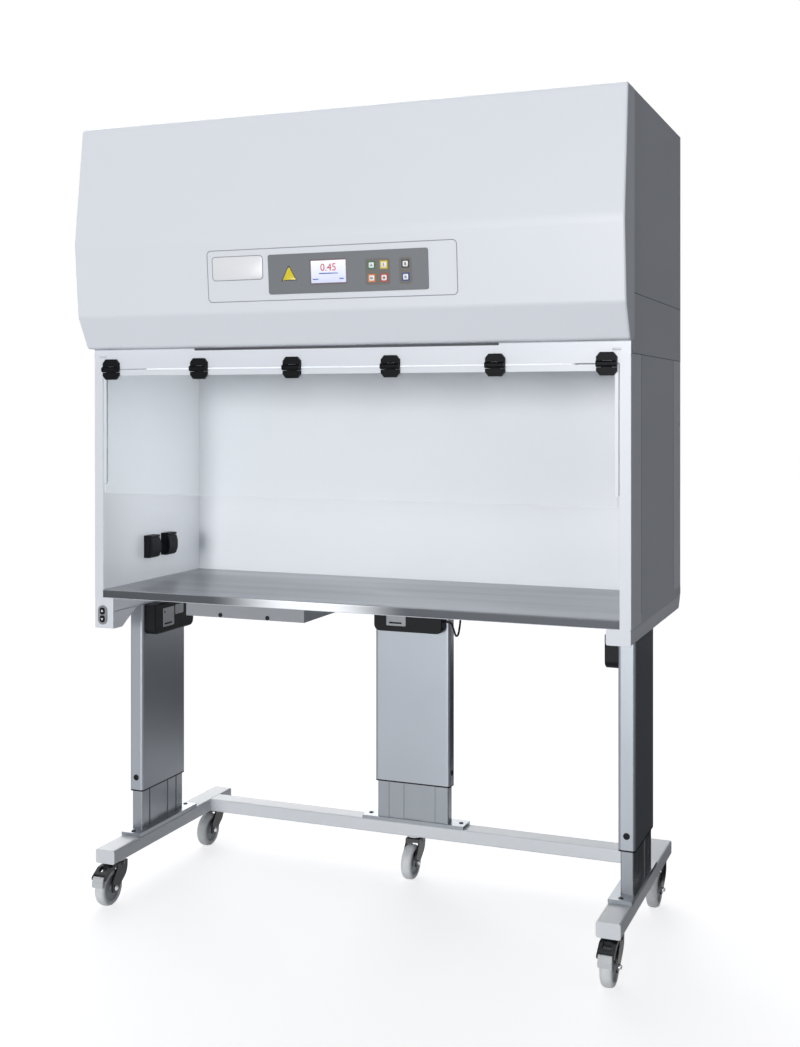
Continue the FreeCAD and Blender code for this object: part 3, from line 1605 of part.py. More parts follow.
document.recompute()
for thing in document.Objects:
    if "Invalid" in thing.State or "Error" in thing.State:
        raise ValueError(thing.Name + " failed: " + str(thing.State))
os.makedirs("parts", exist_ok=True)
for thing in nodes:
    shape = thing.Shape
    if shape.isNull() or not shape.isValid():
        raise ValueError(thing.Label + " has no valid shape")
    shape.exportStep("parts/" + thing.Label + ".step")
print(len(nodes), "sub-parts,", sum(len(thing.Shape.Solids) for thing in nodes), "solids")
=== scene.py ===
import json
import math

import bmesh
import bpy
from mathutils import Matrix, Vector


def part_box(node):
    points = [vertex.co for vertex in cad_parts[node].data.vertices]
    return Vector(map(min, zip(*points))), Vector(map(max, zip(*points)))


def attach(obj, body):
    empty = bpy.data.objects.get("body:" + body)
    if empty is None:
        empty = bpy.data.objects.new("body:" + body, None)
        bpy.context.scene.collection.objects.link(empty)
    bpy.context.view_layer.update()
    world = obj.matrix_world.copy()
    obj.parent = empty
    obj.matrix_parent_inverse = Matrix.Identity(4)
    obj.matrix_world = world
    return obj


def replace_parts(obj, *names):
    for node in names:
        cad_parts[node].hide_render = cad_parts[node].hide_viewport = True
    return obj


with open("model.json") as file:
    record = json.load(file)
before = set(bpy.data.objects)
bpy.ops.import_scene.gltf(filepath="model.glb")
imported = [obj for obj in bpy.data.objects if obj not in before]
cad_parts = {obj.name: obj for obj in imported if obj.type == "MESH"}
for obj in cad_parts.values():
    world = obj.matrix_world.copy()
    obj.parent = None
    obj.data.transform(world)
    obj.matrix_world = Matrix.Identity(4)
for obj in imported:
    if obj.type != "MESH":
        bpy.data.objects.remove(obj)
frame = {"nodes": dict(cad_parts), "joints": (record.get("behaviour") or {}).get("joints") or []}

nodes = frame["nodes"]
joints = {joint["name"]: joint for joint in frame["joints"]}
scene = bpy.context.scene
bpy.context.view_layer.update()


# Camera, floor and light: a white studio with a broad key light from the front. The lens and
# the place of the camera were fitted to the photograph's edges, and the shift is what keeps
# its upright lines upright.

camera = bpy.data.objects.new("camera", bpy.data.cameras.new("camera"))
scene.collection.objects.link(camera)
camera.data.sensor_width = 36
camera.data.lens = 45.99
camera.data.shift_y = -0.1121
camera.data.clip_end = 200
camera.location = (1.4139, -3.4178, 1.3743)
camera.rotation_euler = (math.radians(90), 0, math.radians(21.77))
scene.camera = camera
scene.view_settings.view_transform = "Standard"


def colour(code):
    """An sRGB hex colour as the linear values that a shader takes."""
    linear = []
    for place in (1, 3, 5):
        channel = int(code[place:place + 2], 16) / 255
        if channel <= 0.04045:
            linear.append(channel / 12.92)
        else:
            linear.append(((channel + 0.055) / 1.055) ** 2.4)
    return (*linear, 1)


def add_node(tree, kind, inputs=None, **settings):
    """Add one node, set its properties, and fill or link its inputs."""
    made = tree.nodes.new(kind)
    for name, value in settings.items():
        setattr(made, name, value)
    for name, value in (inputs or {}).items():
        if isinstance(value, bpy.types.NodeSocket):
            tree.links.new(value, made.inputs[name])
        else:
            made.inputs[name].default_value = value
    return made


def new_material(name):
    """A material with an empty node tree, and that tree."""
    made = bpy.data.materials.new(name)
    made.use_nodes = True
    made.node_tree.nodes.clear()
    return made, made.node_tree


def surface(tree, shader):
    """End a material's tree with its shader."""
    add_node(tree, "ShaderNodeOutputMaterial", {"Surface": shader.outputs[0]})


def seen_directly(tree):
    """1 for rays from the camera and for what gloss and glass show, 0 for light."""
    path = add_node(tree, "ShaderNodeLightPath")
    mirrored = add_node(tree, "ShaderNodeMath", {
        0: path.outputs["Is Camera Ray"], 1: path.outputs["Is Glossy Ray"]}, operation="MAXIMUM")
    return add_node(tree, "ShaderNodeMath", {
        0: mirrored.outputs[0], 1: path.outputs["Is Transmission Ray"]},
        operation="MAXIMUM").outputs[0]


ambient_strength = 0.13
floor_glow = 0.745
floor_size = 40
world = bpy.data.worlds.new("studio")
world.use_nodes = True
world.node_tree.nodes.clear()
tree = world.node_tree
ambient = add_node(tree, "ShaderNodeBackground", {
    "Color": colour("#f6f9ff"), "Strength": ambient_strength})
backdrop = add_node(tree, "ShaderNodeBackground", {"Color": colour("#ffffff"), "Strength": 1})
sky = add_node(tree, "ShaderNodeMixShader", {
    0: seen_directly(tree), 1: ambient.outputs[0], 2: backdrop.outputs[0]})
add_node(tree, "ShaderNodeOutputWorld", {"Surface": sky.outputs[0]})
scene.world = world

floor_material, tree = new_material("studio_floor")
paper = add_node(tree, "ShaderNodeBsdfDiffuse", {"Color": colour("#b3b3b6")})
glow = add_node(tree, "ShaderNodeEmission", {"Color": colour("#ffffff"), "Strength": floor_glow})
lifted = add_node(tree, "ShaderNodeAddShader", {0: paper.outputs[0], 1: glow.outputs[0]})
ground = add_node(tree, "ShaderNodeMixShader", {
    0: seen_directly(tree), 1: paper.outputs[0], 2: lifted.outputs[0]})
surface(tree, ground)
bpy.ops.mesh.primitive_plane_add(size=floor_size)
floor = bpy.context.object
floor.name = "floor"
floor.data.materials.append(floor_material)
floor.visible_shadow = False


def sun(name, towards, strength, softness):
    """A distant soft light that shines from a direction given as a vector."""
    light = bpy.data.objects.new(name, bpy.data.lights.new(name, "SUN"))
    scene.collection.objects.link(light)
    light.data.energy = strength
    light.data.angle = math.radians(softness)
    light.rotation_mode = "QUATERNION"
    light.rotation_quaternion = Vector(towards).to_track_quat("Z", "Y")


sun("key_light", (-0.03, -1.0, 0.09), 2.15, 14)
sun("top_light", (-0.2, 0.2, 1.0), 0.8, 50)
sun("rear_light", (-0.6, 1.0, 0.75), 1.3, 40)
sun("side_light", (1.0, -0.4, 0.2), 0.21, 60)

# Black flags and cloths stand and lie round the object, as in a photographer's studio. They
# light nothing and the camera looks past them: the right-hand sides mirror those behind and at
# the right and stay dark, and the steel front edge mirrors those in front.
behind = 1.3
before = -3.5
far_right = 9.0
far_back = 5.0
cloth_left = 0.80
cloth_line = 0.45
front_low = 0.1
front_high = 0.6
flag_black, tree = new_material("black_flag")
velvet = add_node(tree, "ShaderNodeBsdfDiffuse", {"Color": colour("#1c1d1f")})
surface(tree, velvet)
for name, corners in (
        ("tall_flag", ((0.8, behind, 0.0), (far_right, far_back, 0.0),
                       (far_right, far_back, 6.0), (0.8, behind, 6.0))),
        ("low_flag", ((-0.5, behind, 0.0), (0.8, behind, 0.0),
                      (0.8, behind, 0.5), (-0.5, behind, 0.5))),
        ("right_cloth", ((cloth_left, -3.0, 0.0015), (far_right, -3.0, 0.0015),
                         (far_right, cloth_line, 0.0015), (cloth_left, cloth_line, 0.0015))),
        ("floor_cloth", ((0.45, cloth_line, 0.002), (far_right, cloth_line, 0.002),
                         (far_right, far_back, 0.002), (0.45, behind, 0.002))),
        ("front_right", ((-0.5, before, front_low), (1.5, before, front_low),
                         (1.5, before, front_high), (-0.5, before, front_high))),
        ("front_left", ((-4.5, before, front_low), (-2.2, before, front_low),
                        (-2.2, before, front_high), (-4.5, before, front_high)))):
    mesh = bpy.data.meshes.new(name)
    mesh.from_pydata(corners, [], [(0, 1, 2, 3)])
    flag = bpy.data.objects.new(name, mesh)
    scene.collection.objects.link(flag)
    mesh.materials.append(flag_black)
    flag.visible_camera = False
    flag.visible_shadow = False
    flag.visible_diffuse = False


# Base: two feet and a rear rail, welded from rectangular steel tube and powder coated in
# a silver grey. The coat is sprayed dry and baked, so it has a fine orange peel and a
# faint unevenness of tone.

def coat_bump(tree, grain, height, place):
    """A fine bump in real millimetres, from noise on the object's own coordinates."""
    noise = add_node(tree, "ShaderNodeTexNoise", {
        "Vector": place, "Scale": 1000 / grain, "Detail": 2})
    return add_node(tree, "ShaderNodeBump", {
        "Height": noise.outputs["Fac"], "Strength": height, "Distance": 0.0004}).outputs[0]


def darker(code, share):
    """A colour of which only a share of its light is left."""
    return [channel * share for channel in colour(code)[:3]] + [1]


def powder_coat(name, code, roughness, grain, height, shade=0.04, coat=0.0):
    """Baked powder paint on steel: one colour, cloudy by a few percent, with orange peel."""
    made, tree = new_material(name)
    place = add_node(tree, "ShaderNodeTexCoord").outputs["Object"]
    clouds = add_node(tree, "ShaderNodeTexNoise", {"Vector": place, "Scale": 3.5, "Detail": 3})
    tone = add_node(tree, "ShaderNodeMix", {
        "Factor": clouds.outputs["Fac"], "A": darker(code, 1 - shade), "B": colour(code)},
        data_type="RGBA")
    gloss = add_node(tree, "ShaderNodeMapRange", {
        "Value": clouds.outputs["Fac"], "To Min": roughness - 0.05, "To Max": roughness + 0.05})
    paint = add_node(tree, "ShaderNodeBsdfPrincipled", {
        "Base Color": tone.outputs["Result"], "Roughness": gloss.outputs[0], "IOR": 1.5,
        "Coat Weight": coat, "Coat Roughness": 0.12,
        "Normal": coat_bump(tree, grain, height, place)})
    surface(tree, paint)
    return made


def finish_node(name, material):
    """Give a CAD node its finish."""
    slots = nodes[name].data.materials
    slots.clear()
    slots.append(material)


silver_paint = powder_coat("silver_powder_coat", "#d0d4d9", 0.42, 1.2, 0.25)
for name in ("left_foot", "right_foot", "rear_rail"):
    finish_node(name, silver_paint)


def screw_tree():
    """A button-head screw with a socket, set on each point of a mesh and turned to its aim."""
    tree = bpy.data.node_groups.new("screws", "GeometryNodeTree")
    face = tree.interface
    face.new_socket("Geometry", in_out="INPUT", socket_type="NodeSocketGeometry")
    face.new_socket("Head radius", in_out="INPUT", socket_type="NodeSocketFloat")
    face.new_socket("Head height", in_out="INPUT", socket_type="NodeSocketFloat")
    face.new_socket("Material", in_out="INPUT", socket_type="NodeSocketMaterial")
    face.new_socket("Geometry", in_out="OUTPUT", socket_type="NodeSocketGeometry")
    given = add_node(tree, "NodeGroupInput")
    radius = given.outputs["Head radius"]
    height = given.outputs["Head height"]
    head = add_node(tree, "GeometryNodeMeshCylinder", {
        "Vertices": 20, "Radius": radius, "Depth": height}, fill_type="NGON")
    shape = head.outputs["Mesh"]
    chosen = head.outputs["Top"]
    # Each step raises the top by a share of the head's height and scales it: the button's
    # crown, the socket's mouth and the socket's floor.
    for growth, size in ((0.25, 0.86), (0.0, 0.55), (-0.55, 0.9)):
        rise = add_node(tree, "ShaderNodeMath", {0: height, 1: growth}, operation="MULTIPLY")
        pushed = add_node(tree, "GeometryNodeExtrudeMesh", {
            "Mesh": shape, "Selection": chosen, "Offset Scale": rise.outputs[0]})
        drawn_in = add_node(tree, "GeometryNodeScaleElements", {
            "Geometry": pushed.outputs["Mesh"], "Selection": pushed.outputs["Top"],
            "Scale": size})
        shape = drawn_in.outputs[0]
        chosen = pushed.outputs["Top"]
    aim = add_node(tree, "GeometryNodeInputNamedAttribute", {"Name": "aim"},
                   data_type="FLOAT_VECTOR")
    turned = add_node(tree, "FunctionNodeAlignRotationToVector", {
        "Vector": aim.outputs["Attribute"]}, axis="Z")
    placed = add_node(tree, "GeometryNodeInstanceOnPoints", {
        "Points": given.outputs["Geometry"], "Instance": shape,
        "Rotation": turned.outputs["Rotation"]})
    real = add_node(tree, "GeometryNodeRealizeInstances", {"Geometry": placed.outputs[0]})
    painted = add_node(tree, "GeometryNodeSetMaterial", {
        "Geometry": real.outputs[0], "Material": given.outputs["Material"]})
    add_node(tree, "NodeGroupOutput", {"Geometry": painted.outputs[0]})
    return tree


screws = screw_tree()


def set_points(name, places, aims):
    """A mesh of loose points, each with the direction that its screw looks in."""
    mesh = bpy.data.meshes.new(name)
    mesh.from_pydata([tuple(place) for place in places], [], [])
    aim = mesh.attributes.new("aim", "FLOAT_VECTOR", "POINT")
    for index, direction in enumerate(aims):
        aim.data[index].vector = direction
    piece = bpy.data.objects.new(name, mesh)
    scene.collection.objects.link(piece)
    return piece


def grow(piece, tree, values):
    """Run a node tree on a piece and keep its result as the piece's plain mesh."""
    modifier = piece.modifiers.new(tree.name, "NODES")
    modifier.node_group = tree
    for item in tree.interface.items_tree:
        if item.in_out == "INPUT" and item.name in values:
            modifier[item.identifier] = values[item.name]
    view = bpy.context.evaluated_depsgraph_get()
    result = bpy.data.meshes.new_from_object(piece.evaluated_get(view))
    piece.modifiers.clear()
    piece.data = result
    return piece


def fit_screws(name, places, aim, radius, height, material, body):
    """Screws at a list of places, all looking the same way, moving with one body."""
    points = set_points(name, places, [aim] * len(places))
    piece = grow(points, screws, {
        "Head radius": radius, "Head height": height, "Material": material})
    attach(piece, body)
    return piece


# Casters: glass-filled nylon forks on zinc-plated rivets, with grey thermoplastic wheels. The
# tread is a paler, softer grey than the web that it is moulded onto, and the front casters
# carry a grey brake pedal.

def moulded_plastic(name, code, roughness, grain, height, gleam=0.5):
    """Injection-moulded plastic with a fine spark-eroded texture."""
    made, tree = new_material(name)
    place = add_node(tree, "ShaderNodeTexCoord").outputs["Object"]
    mottle = add_node(tree, "ShaderNodeTexNoise", {"Vector": place, "Scale": 60, "Detail": 4})
    tone = add_node(tree, "ShaderNodeMix", {
        "Factor": mottle.outputs["Fac"], "A": darker(code, 0.86), "B": colour(code)},
        data_type="RGBA")
    plastic = add_node(tree, "ShaderNodeBsdfPrincipled", {
        "Base Color": tone.outputs["Result"], "Roughness": roughness, "IOR": 1.5,
        "Specular IOR Level": gleam, "Normal": coat_bump(tree, grain, height, place)})
    surface(tree, plastic)
    return made


black_nylon = moulded_plastic("black_glass_filled_nylon", "#14171b", 0.36, 0.9, 0.35, 0.35)
pedal_grey = moulded_plastic("grey_nylon", "#c3c6c9", 0.5, 1.4, 0.8)


web_radius = 0.035


def tread_and_web(name, centre):
    """One wheel's finish: pale tread outside a darker web, by distance from its axle."""
    made, tree = new_material(name)
    place = add_node(tree, "ShaderNodeTexCoord").outputs["Object"]
    about = add_node(tree, "ShaderNodeMapping", {
        "Vector": place, "Location": [-value for value in centre]})
    apart = add_node(tree, "ShaderNodeSeparateXYZ", {"Vector": about.outputs[0]})
    flat = add_node(tree, "ShaderNodeCombineXYZ", {
        "Y": apart.outputs["Y"], "Z": apart.outputs["Z"]})
    reach = add_node(tree, "ShaderNodeVectorMath", {0: flat.outputs[0]}, operation="LENGTH")
    step = add_node(tree, "ShaderNodeMapRange", {
        "Value": reach.outputs["Value"], "From Min": web_radius - 0.0005,
        "From Max": web_radius + 0.0005})
    tone = add_node(tree, "ShaderNodeMix", {
        "Factor": step.outputs[0], "A": colour("#a9adb0"), "B": colour("#d3d6d8")},
        data_type="RGBA")
    scuff = add_node(tree, "ShaderNodeTexNoise", {
        "Vector": about.outputs[0], "Scale": 45, "Detail": 5})
    worn = add_node(tree, "ShaderNodeMapRange", {
        "Value": scuff.outputs["Fac"], "From Min": 0.35, "From Max": 0.75,
        "To Min": 0.0, "To Max": 0.25})
    marked = add_node(tree, "ShaderNodeMix", {
        "Factor": worn.outputs[0], "A": tone.outputs["Result"], "B": colour("#9a9da0")},
        data_type="RGBA")
    rubber = add_node(tree, "ShaderNodeBsdfPrincipled", {
        "Base Color": marked.outputs["Result"], "Roughness": 0.55, "IOR": 1.5,
        "Normal": coat_bump(tree, 1.5, 0.4, place)})
    surface(tree, rubber)
    return made


def bright_zinc(name, code, roughness):
    """Zinc-plated or turned steel, bright, with fine turning marks."""
    made, tree = new_material(name)
    place = add_node(tree, "ShaderNodeTexCoord").outputs["Object"]
    marks = add_node(tree, "ShaderNodeTexNoise", {"Vector": place, "Scale": 400, "Detail": 2})
    spread = add_node(tree, "ShaderNodeMapRange", {
        "Value": marks.outputs["Fac"], "To Min": roughness - 0.06, "To Max": roughness + 0.1})
    metal = add_node(tree, "ShaderNodeBsdfPrincipled", {
        "Base Color": colour(code), "Metallic": 1, "Roughness": spread.outputs[0],
        "Normal": coat_bump(tree, 0.6, 0.1, place)})
    surface(tree, metal)
    return made


zinc = bright_zinc("zinc_plated_steel", "#c9ccd0", 0.22)


def lathe(name, profile, centre, axis, material, steps=24):
    """A closed turned piece: (along the axis, radius) points swept about an axis."""
    mesh = bmesh.new()
    direction = Vector(axis).normalized()
    across = direction.orthogonal().normalized()
    other = direction.cross(across)
    rings = []
    for along, radius in profile:
        middle = Vector(centre) + direction * along
        if radius == 0:
            rings.append([mesh.verts.new(middle)])
            continue
        ring = []
        for step in range(steps):
            angle = 2 * math.pi * step / steps
            offset = across * math.cos(angle) + other * math.sin(angle)
            ring.append(mesh.verts.new(middle + offset * radius))
        rings.append(ring)
    for near, far in zip(rings, rings[1:]):
        for step in range(steps):
            after = (step + 1) % steps
            corners = []
            for ring, index in ((near, step), (near, after), (far, after), (far, step)):
                vert = ring[index] if len(ring) > 1 else ring[0]
                if vert not in corners:
                    corners.append(vert)
            if len(corners) > 2:
                mesh.faces.new(corners)
    bmesh.ops.recalc_face_normals(mesh, faces=mesh.faces)
    return keep_mesh(name, mesh, material)


def keep_mesh(name, mesh, material, smooth=35):
    """Turn a bmesh into a piece, shaded smooth except at its sharp edges."""
    data = bpy.data.meshes.new(name)
    limit = math.radians(smooth)
    for edge in mesh.edges:
        edge.smooth = len(edge.link_faces) == 2 and edge.calc_face_angle(0) < limit
    for face in mesh.faces:
        face.smooth = True
    mesh.to_mesh(data)
    mesh.free()
    piece = bpy.data.objects.new(name, data)
    scene.collection.objects.link(piece)
    data.materials.append(material)
    return piece


def fuse(name, parts):
    """Join pieces of one finish into the first, under a new name."""
    bpy.ops.object.select_all(action="DESELECT")
    for part in parts:
        part.select_set(True)
    bpy.context.view_layer.objects.active = parts[0]
    if len(parts) > 1:
        bpy.ops.object.join()
    parts[0].name = name
    return parts[0]


def settle(piece, body):
    """Hand a finished piece to its CAD body."""
    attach(piece, body)
    return piece


# Half of a wheel's section, from the hub outwards: hub, dished web, rim and rounded tread.
wheel_low, wheel_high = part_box("middle_caster_wheel")
hub_rise = 0.0015
wheel_half = (wheel_high.x - wheel_low.x) / 2 - hub_rise
tread = (wheel_high.z - wheel_low.z) / 2
half_profile = [(wheel_half + hub_rise, 0.0), (wheel_half + hub_rise, 0.0105),
                (wheel_half + 0.0008, 0.0113), (wheel_half - 0.005, 0.0130),
                (wheel_half - 0.006, 0.0150), (wheel_half - 0.006, tread - 0.0170),
                (wheel_half - 0.0052, tread - 0.0155), (wheel_half - 0.0010, tread - 0.0135),
                (wheel_half, tread - 0.0120), (wheel_half, tread - 0.0075),
                (wheel_half - 0.0012, tread - 0.0042), (wheel_half - 0.0038, tread - 0.0018),
                (wheel_half - 0.0075, tread - 0.0004), (wheel_half - 0.0120, tread)]
wheel_profile = [(-along, radius) for along, radius in half_profile] + half_profile[::-1]
nut_profile = [(-0.001, 0.0), (-0.001, 0.0068), (0.0035, 0.0068), (0.0042, 0.0058),
               (0.0066, 0.0048), (0.0078, 0.0028), (0.0082, 0.0)]
axle_sunk = 0.003
wheel_steps = 56
braked_sites = ("front_left", "front_right")
for site in ("front_left", "front_right", "rear_left", "rear_right", "middle"):
    finish_node(site + "_caster_fork", black_nylon)
    wheel_low, wheel_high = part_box(site + "_caster_wheel")
    fork_low, fork_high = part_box(site + "_caster_fork")
    axle = (wheel_low + wheel_high) / 2
    wheel = lathe(site + "_turned_wheel", wheel_profile, axle, (1, 0, 0),
                  tread_and_web(site + "_grey_rubber", axle), wheel_steps)
    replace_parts(settle(wheel, site + "_wheel"), site + "_caster_wheel")
    nuts = []
    for side, end in ((-1, fork_low.x + axle_sunk), (1, fork_high.x - axle_sunk)):
        nuts.append(lathe(site + "_nut", nut_profile, (end, axle.y, axle.z), (side, 0, 0), zinc))
    settle(fuse(site + "_axle_nuts", nuts), site + "_caster")
    if site in braked_sites:
        finish_node(site + "_brake_pedal", pedal_grey)


# Lifting columns: extruded aluminium, anodised. The die leaves faint lines along the
# extrusion, and the satin anodising spreads the reflections. Black glides, plugs and foot
# screws finish them, and the motor housings are moulded ABS.

def drawn_aluminium(name, code, roughness, along):
    """Satin anodised extrusion with die lines that run along one axis."""
    made, tree = new_material(name)
    place = add_node(tree, "ShaderNodeTexCoord").outputs["Object"]
    stretch = [400, 400, 400]
    stretch[along] = 2
    lines_at = add_node(tree, "ShaderNodeMapping", {"Vector": place, "Scale": stretch})
    lines = add_node(tree, "ShaderNodeTexNoise", {
        "Vector": lines_at.outputs[0], "Scale": 1, "Detail": 3})
    clouds = add_node(tree, "ShaderNodeTexNoise", {"Vector": place, "Scale": 5, "Detail": 2})
    tone = add_node(tree, "ShaderNodeMix", {
        "Factor": clouds.outputs["Fac"], "A": darker(code, 0.88), "B": colour(code)},
        data_type="RGBA")
    spread = add_node(tree, "ShaderNodeMapRange", {
        "Value": lines.outputs["Fac"], "To Min": roughness - 0.06, "To Max": roughness + 0.06})
    bump = add_node(tree, "ShaderNodeBump", {
        "Height": lines.outputs["Fac"], "Strength": 0.12, "Distance": 0.0003})
    metal = add_node(tree, "ShaderNodeBsdfPrincipled", {
        "Base Color": tone.outputs["Result"], "Metallic": 0.75, "Roughness": spread.outputs[0],
        "Normal": bump.outputs[0]})
    surface(tree, metal)
    return made


column_outer = drawn_aluminium("anodised_outer_column", "#979ca3", 0.38, 2)
column_inner = drawn_aluminium("anodised_inner_column", "#8d9298", 0.34, 2)
abs_black = moulded_plastic("black_abs", "#0c0f14", 0.42, 1.0, 0.4, 0.15)
spindle_steel = bright_zinc("turned_spindle_steel", "#9da1a5", 0.3)
bare_foil = powder_coat("bare_label_foil", "#9a9da1", 0.5, 0.8, 0.05)
finish_node("outer_columns", column_outer)
finish_node("inner_columns", column_inner)
finish_node("column_glides", abs_black)
finish_node("motor_housings", abs_black)
for side in ("left", "middle", "right"):
    finish_node(side + "_lifting_spindle", spindle_steel)

# Plugs close the hole near the foot of each outer column, and two screws hold each foot plate.
column_low, column_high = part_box("outer_columns")
spindle_low, spindle_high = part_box("middle_lifting_spindle")
left_low, left_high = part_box("left_lifting_spindle")
side_middle_y = (left_low.y + left_high.y) / 2
middle_y = (spindle_low.y + spindle_high.y) / 2
column_half = 0.022
middle_face = 0.116
plug_z = column_low.z + 0.035
plug_radius = 0.0085
plug_height = 0.0018
side_x = (column_high.x - column_half, column_half + column_low.x)
fit_screws("column_plugs_front", [(x, column_low.y, plug_z) for x in side_x],
           (0, -1, 0), plug_radius, plug_height, abs_black, "cabinet")
fit_screws("column_plug_middle", [(middle_face, middle_y, plug_z)],
           (1, 0, 0), plug_radius, plug_height, abs_black, "cabinet")

foot_x = 0.7
plate_thick = 0.01
plate_reach = 0.1575
screw_inset = 0.016
rail_half = 0.03
plate_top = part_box("inner_columns")[0].z + plate_thick
screw_reach = plate_reach - screw_inset
rail_middle_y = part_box("rear_rail")[0].y + rail_half
foot_screws = []
for x in (-foot_x, foot_x):
    for sign in (-1, 1):
        foot_screws.append((x, side_middle_y + sign * screw_reach, plate_top))
for sign in (-1, 1):
    foot_screws.append((sign * screw_reach, rail_middle_y, plate_top))
black_screw = bright_zinc("blackened_screw_steel", "#2a2c2f", 0.35)
fit_screws("foot_plate_screws", foot_screws, (0, 0, 1), radius=0.0065, height=0.003,
           material=black_screw, body="stand")


def rounded(x_low, y_low, x_high, y_high, radius, steps=6):
    """A rectangle with round corners, as outline points that run anticlockwise."""
    points = []
    centres = ((x_high - radius, y_low + radius, -90), (x_high - radius, y_high - radius, 0),
               (x_low + radius, y_high - radius, 90), (x_low + radius, y_low + radius, 180))
    for x, y, start in centres:
        for step in range(steps + 1):
            angle = math.radians(start + 90 * step / steps)
            points.append((x + radius * math.cos(angle), y + radius * math.sin(angle)))
    return points


def oblong(x_low, y_low, x_high, y_high):
    """A rectangle with sharp corners, as outline points that run anticlockwise."""
    return [(x_low, y_low), (x_high, y_low), (x_high, y_high), (x_low, y_high)]


def plate(name, outline, at, low, high, material, edge=0.0003, hole=None):
    """A flat plate over an outline, from one level to another, its upper edge rounded."""
    mesh = bmesh.new()
    verts = [mesh.verts.new(at(a, b, low)) for a, b in outline]
    ring = [mesh.edges.new((verts[i - 1], verts[i])) for i in range(len(verts))]
    if hole:
        inner = [mesh.verts.new(at(a, b, low)) for a, b in hole]
        ring += [mesh.edges.new((inner[i - 1], inner[i])) for i in range(len(inner))]
        bmesh.ops.triangle_fill(mesh, edges=ring, use_beauty=True)
    else:
        mesh.faces.new(verts)
    lower = list(mesh.faces)
    made = bmesh.ops.extrude_face_region(mesh, geom=lower, use_keep_orig=True)["geom"]
    lift = at(0, 0, high) - at(0, 0, low)
    upper = [item for item in made if isinstance(item, bmesh.types.BMVert)]
    bmesh.ops.translate(mesh, vec=lift, verts=upper)
    tops = set(upper)
    rim = []
    for item in mesh.edges:
        if item.verts[0] in tops and item.verts[1] in tops and item.calc_face_angle(0) > 1:
            rim.append(item)
    bmesh.ops.bevel(mesh, geom=rim, offset=edge, segments=2, affect="EDGES", profile=0.5)
    bmesh.ops.recalc_face_normals(mesh, faces=mesh.faces)
    return keep_mesh(name, mesh, material)


def facing(origin, right, out):
    """Places on a flat face: a to the right, b up and out away from it."""
    up = Vector(out).cross(Vector(right)).normalized()
    return lambda a, b, level: Vector(origin) + Vector(right) * a + up * b + Vector(out) * level


# Each housing carries two bare foil labels, and the larger one has a dark bar and a dot. All
# that is stuck or printed on a face starts a little inside it, and thin print stands out by
# a fixed amount and has a finer edge.
sunk = 0.0002
stuck = 0.0003
fine_edge = 0.0001
housing_depth = 0.036
housing_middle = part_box("motor_housings")[0].z + 0.043
inner_face = column_low.x + 2 * column_half + housing_depth
label_shapes = (rounded(-0.066, -0.026, -0.006, 0.028, 0.003),
                rounded(0.0, 0.002, 0.046, 0.030, 0.003))
slot_shapes = (rounded(-0.058, -0.020, -0.018, -0.015, 0.002),
               rounded(-0.060, 0.014, -0.054, 0.020, 0.0025))
for site, origin, right, out in (
        ("left", (inner_face, side_middle_y, housing_middle), (0, 1, 0), (1, 0, 0)),
        ("right", (-inner_face, side_middle_y, housing_middle), (0, -1, 0), (-1, 0, 0)),
        ("middle", (0, middle_y - column_half - housing_depth, housing_middle),
         (1, 0, 0), (0, -1, 0))):
    on_housing = facing(origin, right, out)
    labels = [plate(site + "_label", shape, on_housing, -sunk, 0.0006, bare_foil)
              for shape in label_shapes]
    settle(fuse(site + "_housing_labels", labels), "cabinet")
    slots = [plate(site + "_slot", shape, on_housing, 0.0004, 0.0010, abs_black)
             for shape in slot_shapes]
    settle(fuse(site + "_housing_slots", slots), "cabinet")
finish_node("motor_lead", moulded_plastic("pvc_lead", "#101216", 0.5, 0.7, 0.3, 0.2))


# Frame and body: coated tube under the floor pan, with the control box and the switch bracket,
# and the posts, header and panels above. All are folded or welded steel under powder coat. The
# outer panels and the pan are greyer than the frame, which is partly painted shade for sides
# that the key light misses, and the box is darker still, partly as painted shade under the
# worktop.

white_paint = powder_coat("white_powder_coat", "#dde1e8", 0.30, 1.6, 0.18, 0.02)
panel_paint_and_shade = powder_coat("panel_coat_and_painted_shade", "#c6cad1", 0.36, 1.4, 0.22, 0.03)
for name in ("support_tubes", "switch_bracket", "header", "corner_posts", "visor_frame"):
    finish_node(name, white_paint)
for name in ("floor_pan", "side_panels", "back_panels", "top_cover"):
    finish_node(name, panel_paint_and_shade)
# The box's darker grey is partly painted shade, for the shadow under the worktop.
finish_node("control_box", powder_coat("box_coat_and_painted_shade", "#8f9398", 0.36, 1.4, 0.22, 0.03))
box_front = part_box("control_box")[0].y
fit_screws("control_box_screws", [(x, box_front, 0.800) for x in (-0.409, -0.264)],
           (0, -1, 0), radius=0.006, height=0.0028, material=black_screw, body="cabinet")

panel_screw = bright_zinc("panel_screw_steel", "#b9bcc0", 0.3)
back_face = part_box("back_panels")[1].y
screw_rows = (0.89, 1.18, 1.475, 1.53, 1.82, 2.10)
screw_columns = 5
screw_pitch = 0.34
first_column = -0.68
back_screws = []
for row in screw_rows:
    for column in range(screw_columns):
        back_screws.append((first_column + screw_pitch * column, back_face, row))
fit_screws("back_panel_screws", back_screws, (0, 1, 0), radius=0.0055, height=0.0025,
           material=panel_screw, body="cabinet")


# Worktop: a stainless tray, brushed from side to side with a coarse belt, so its highlights
# are drawn out across the grain and long faint streaks run along it.

# Where the painted highlight on the worktop's front edge is full, and where it has faded out.
painted_highlight_inner = 0.04
painted_highlight_outer = 0.29


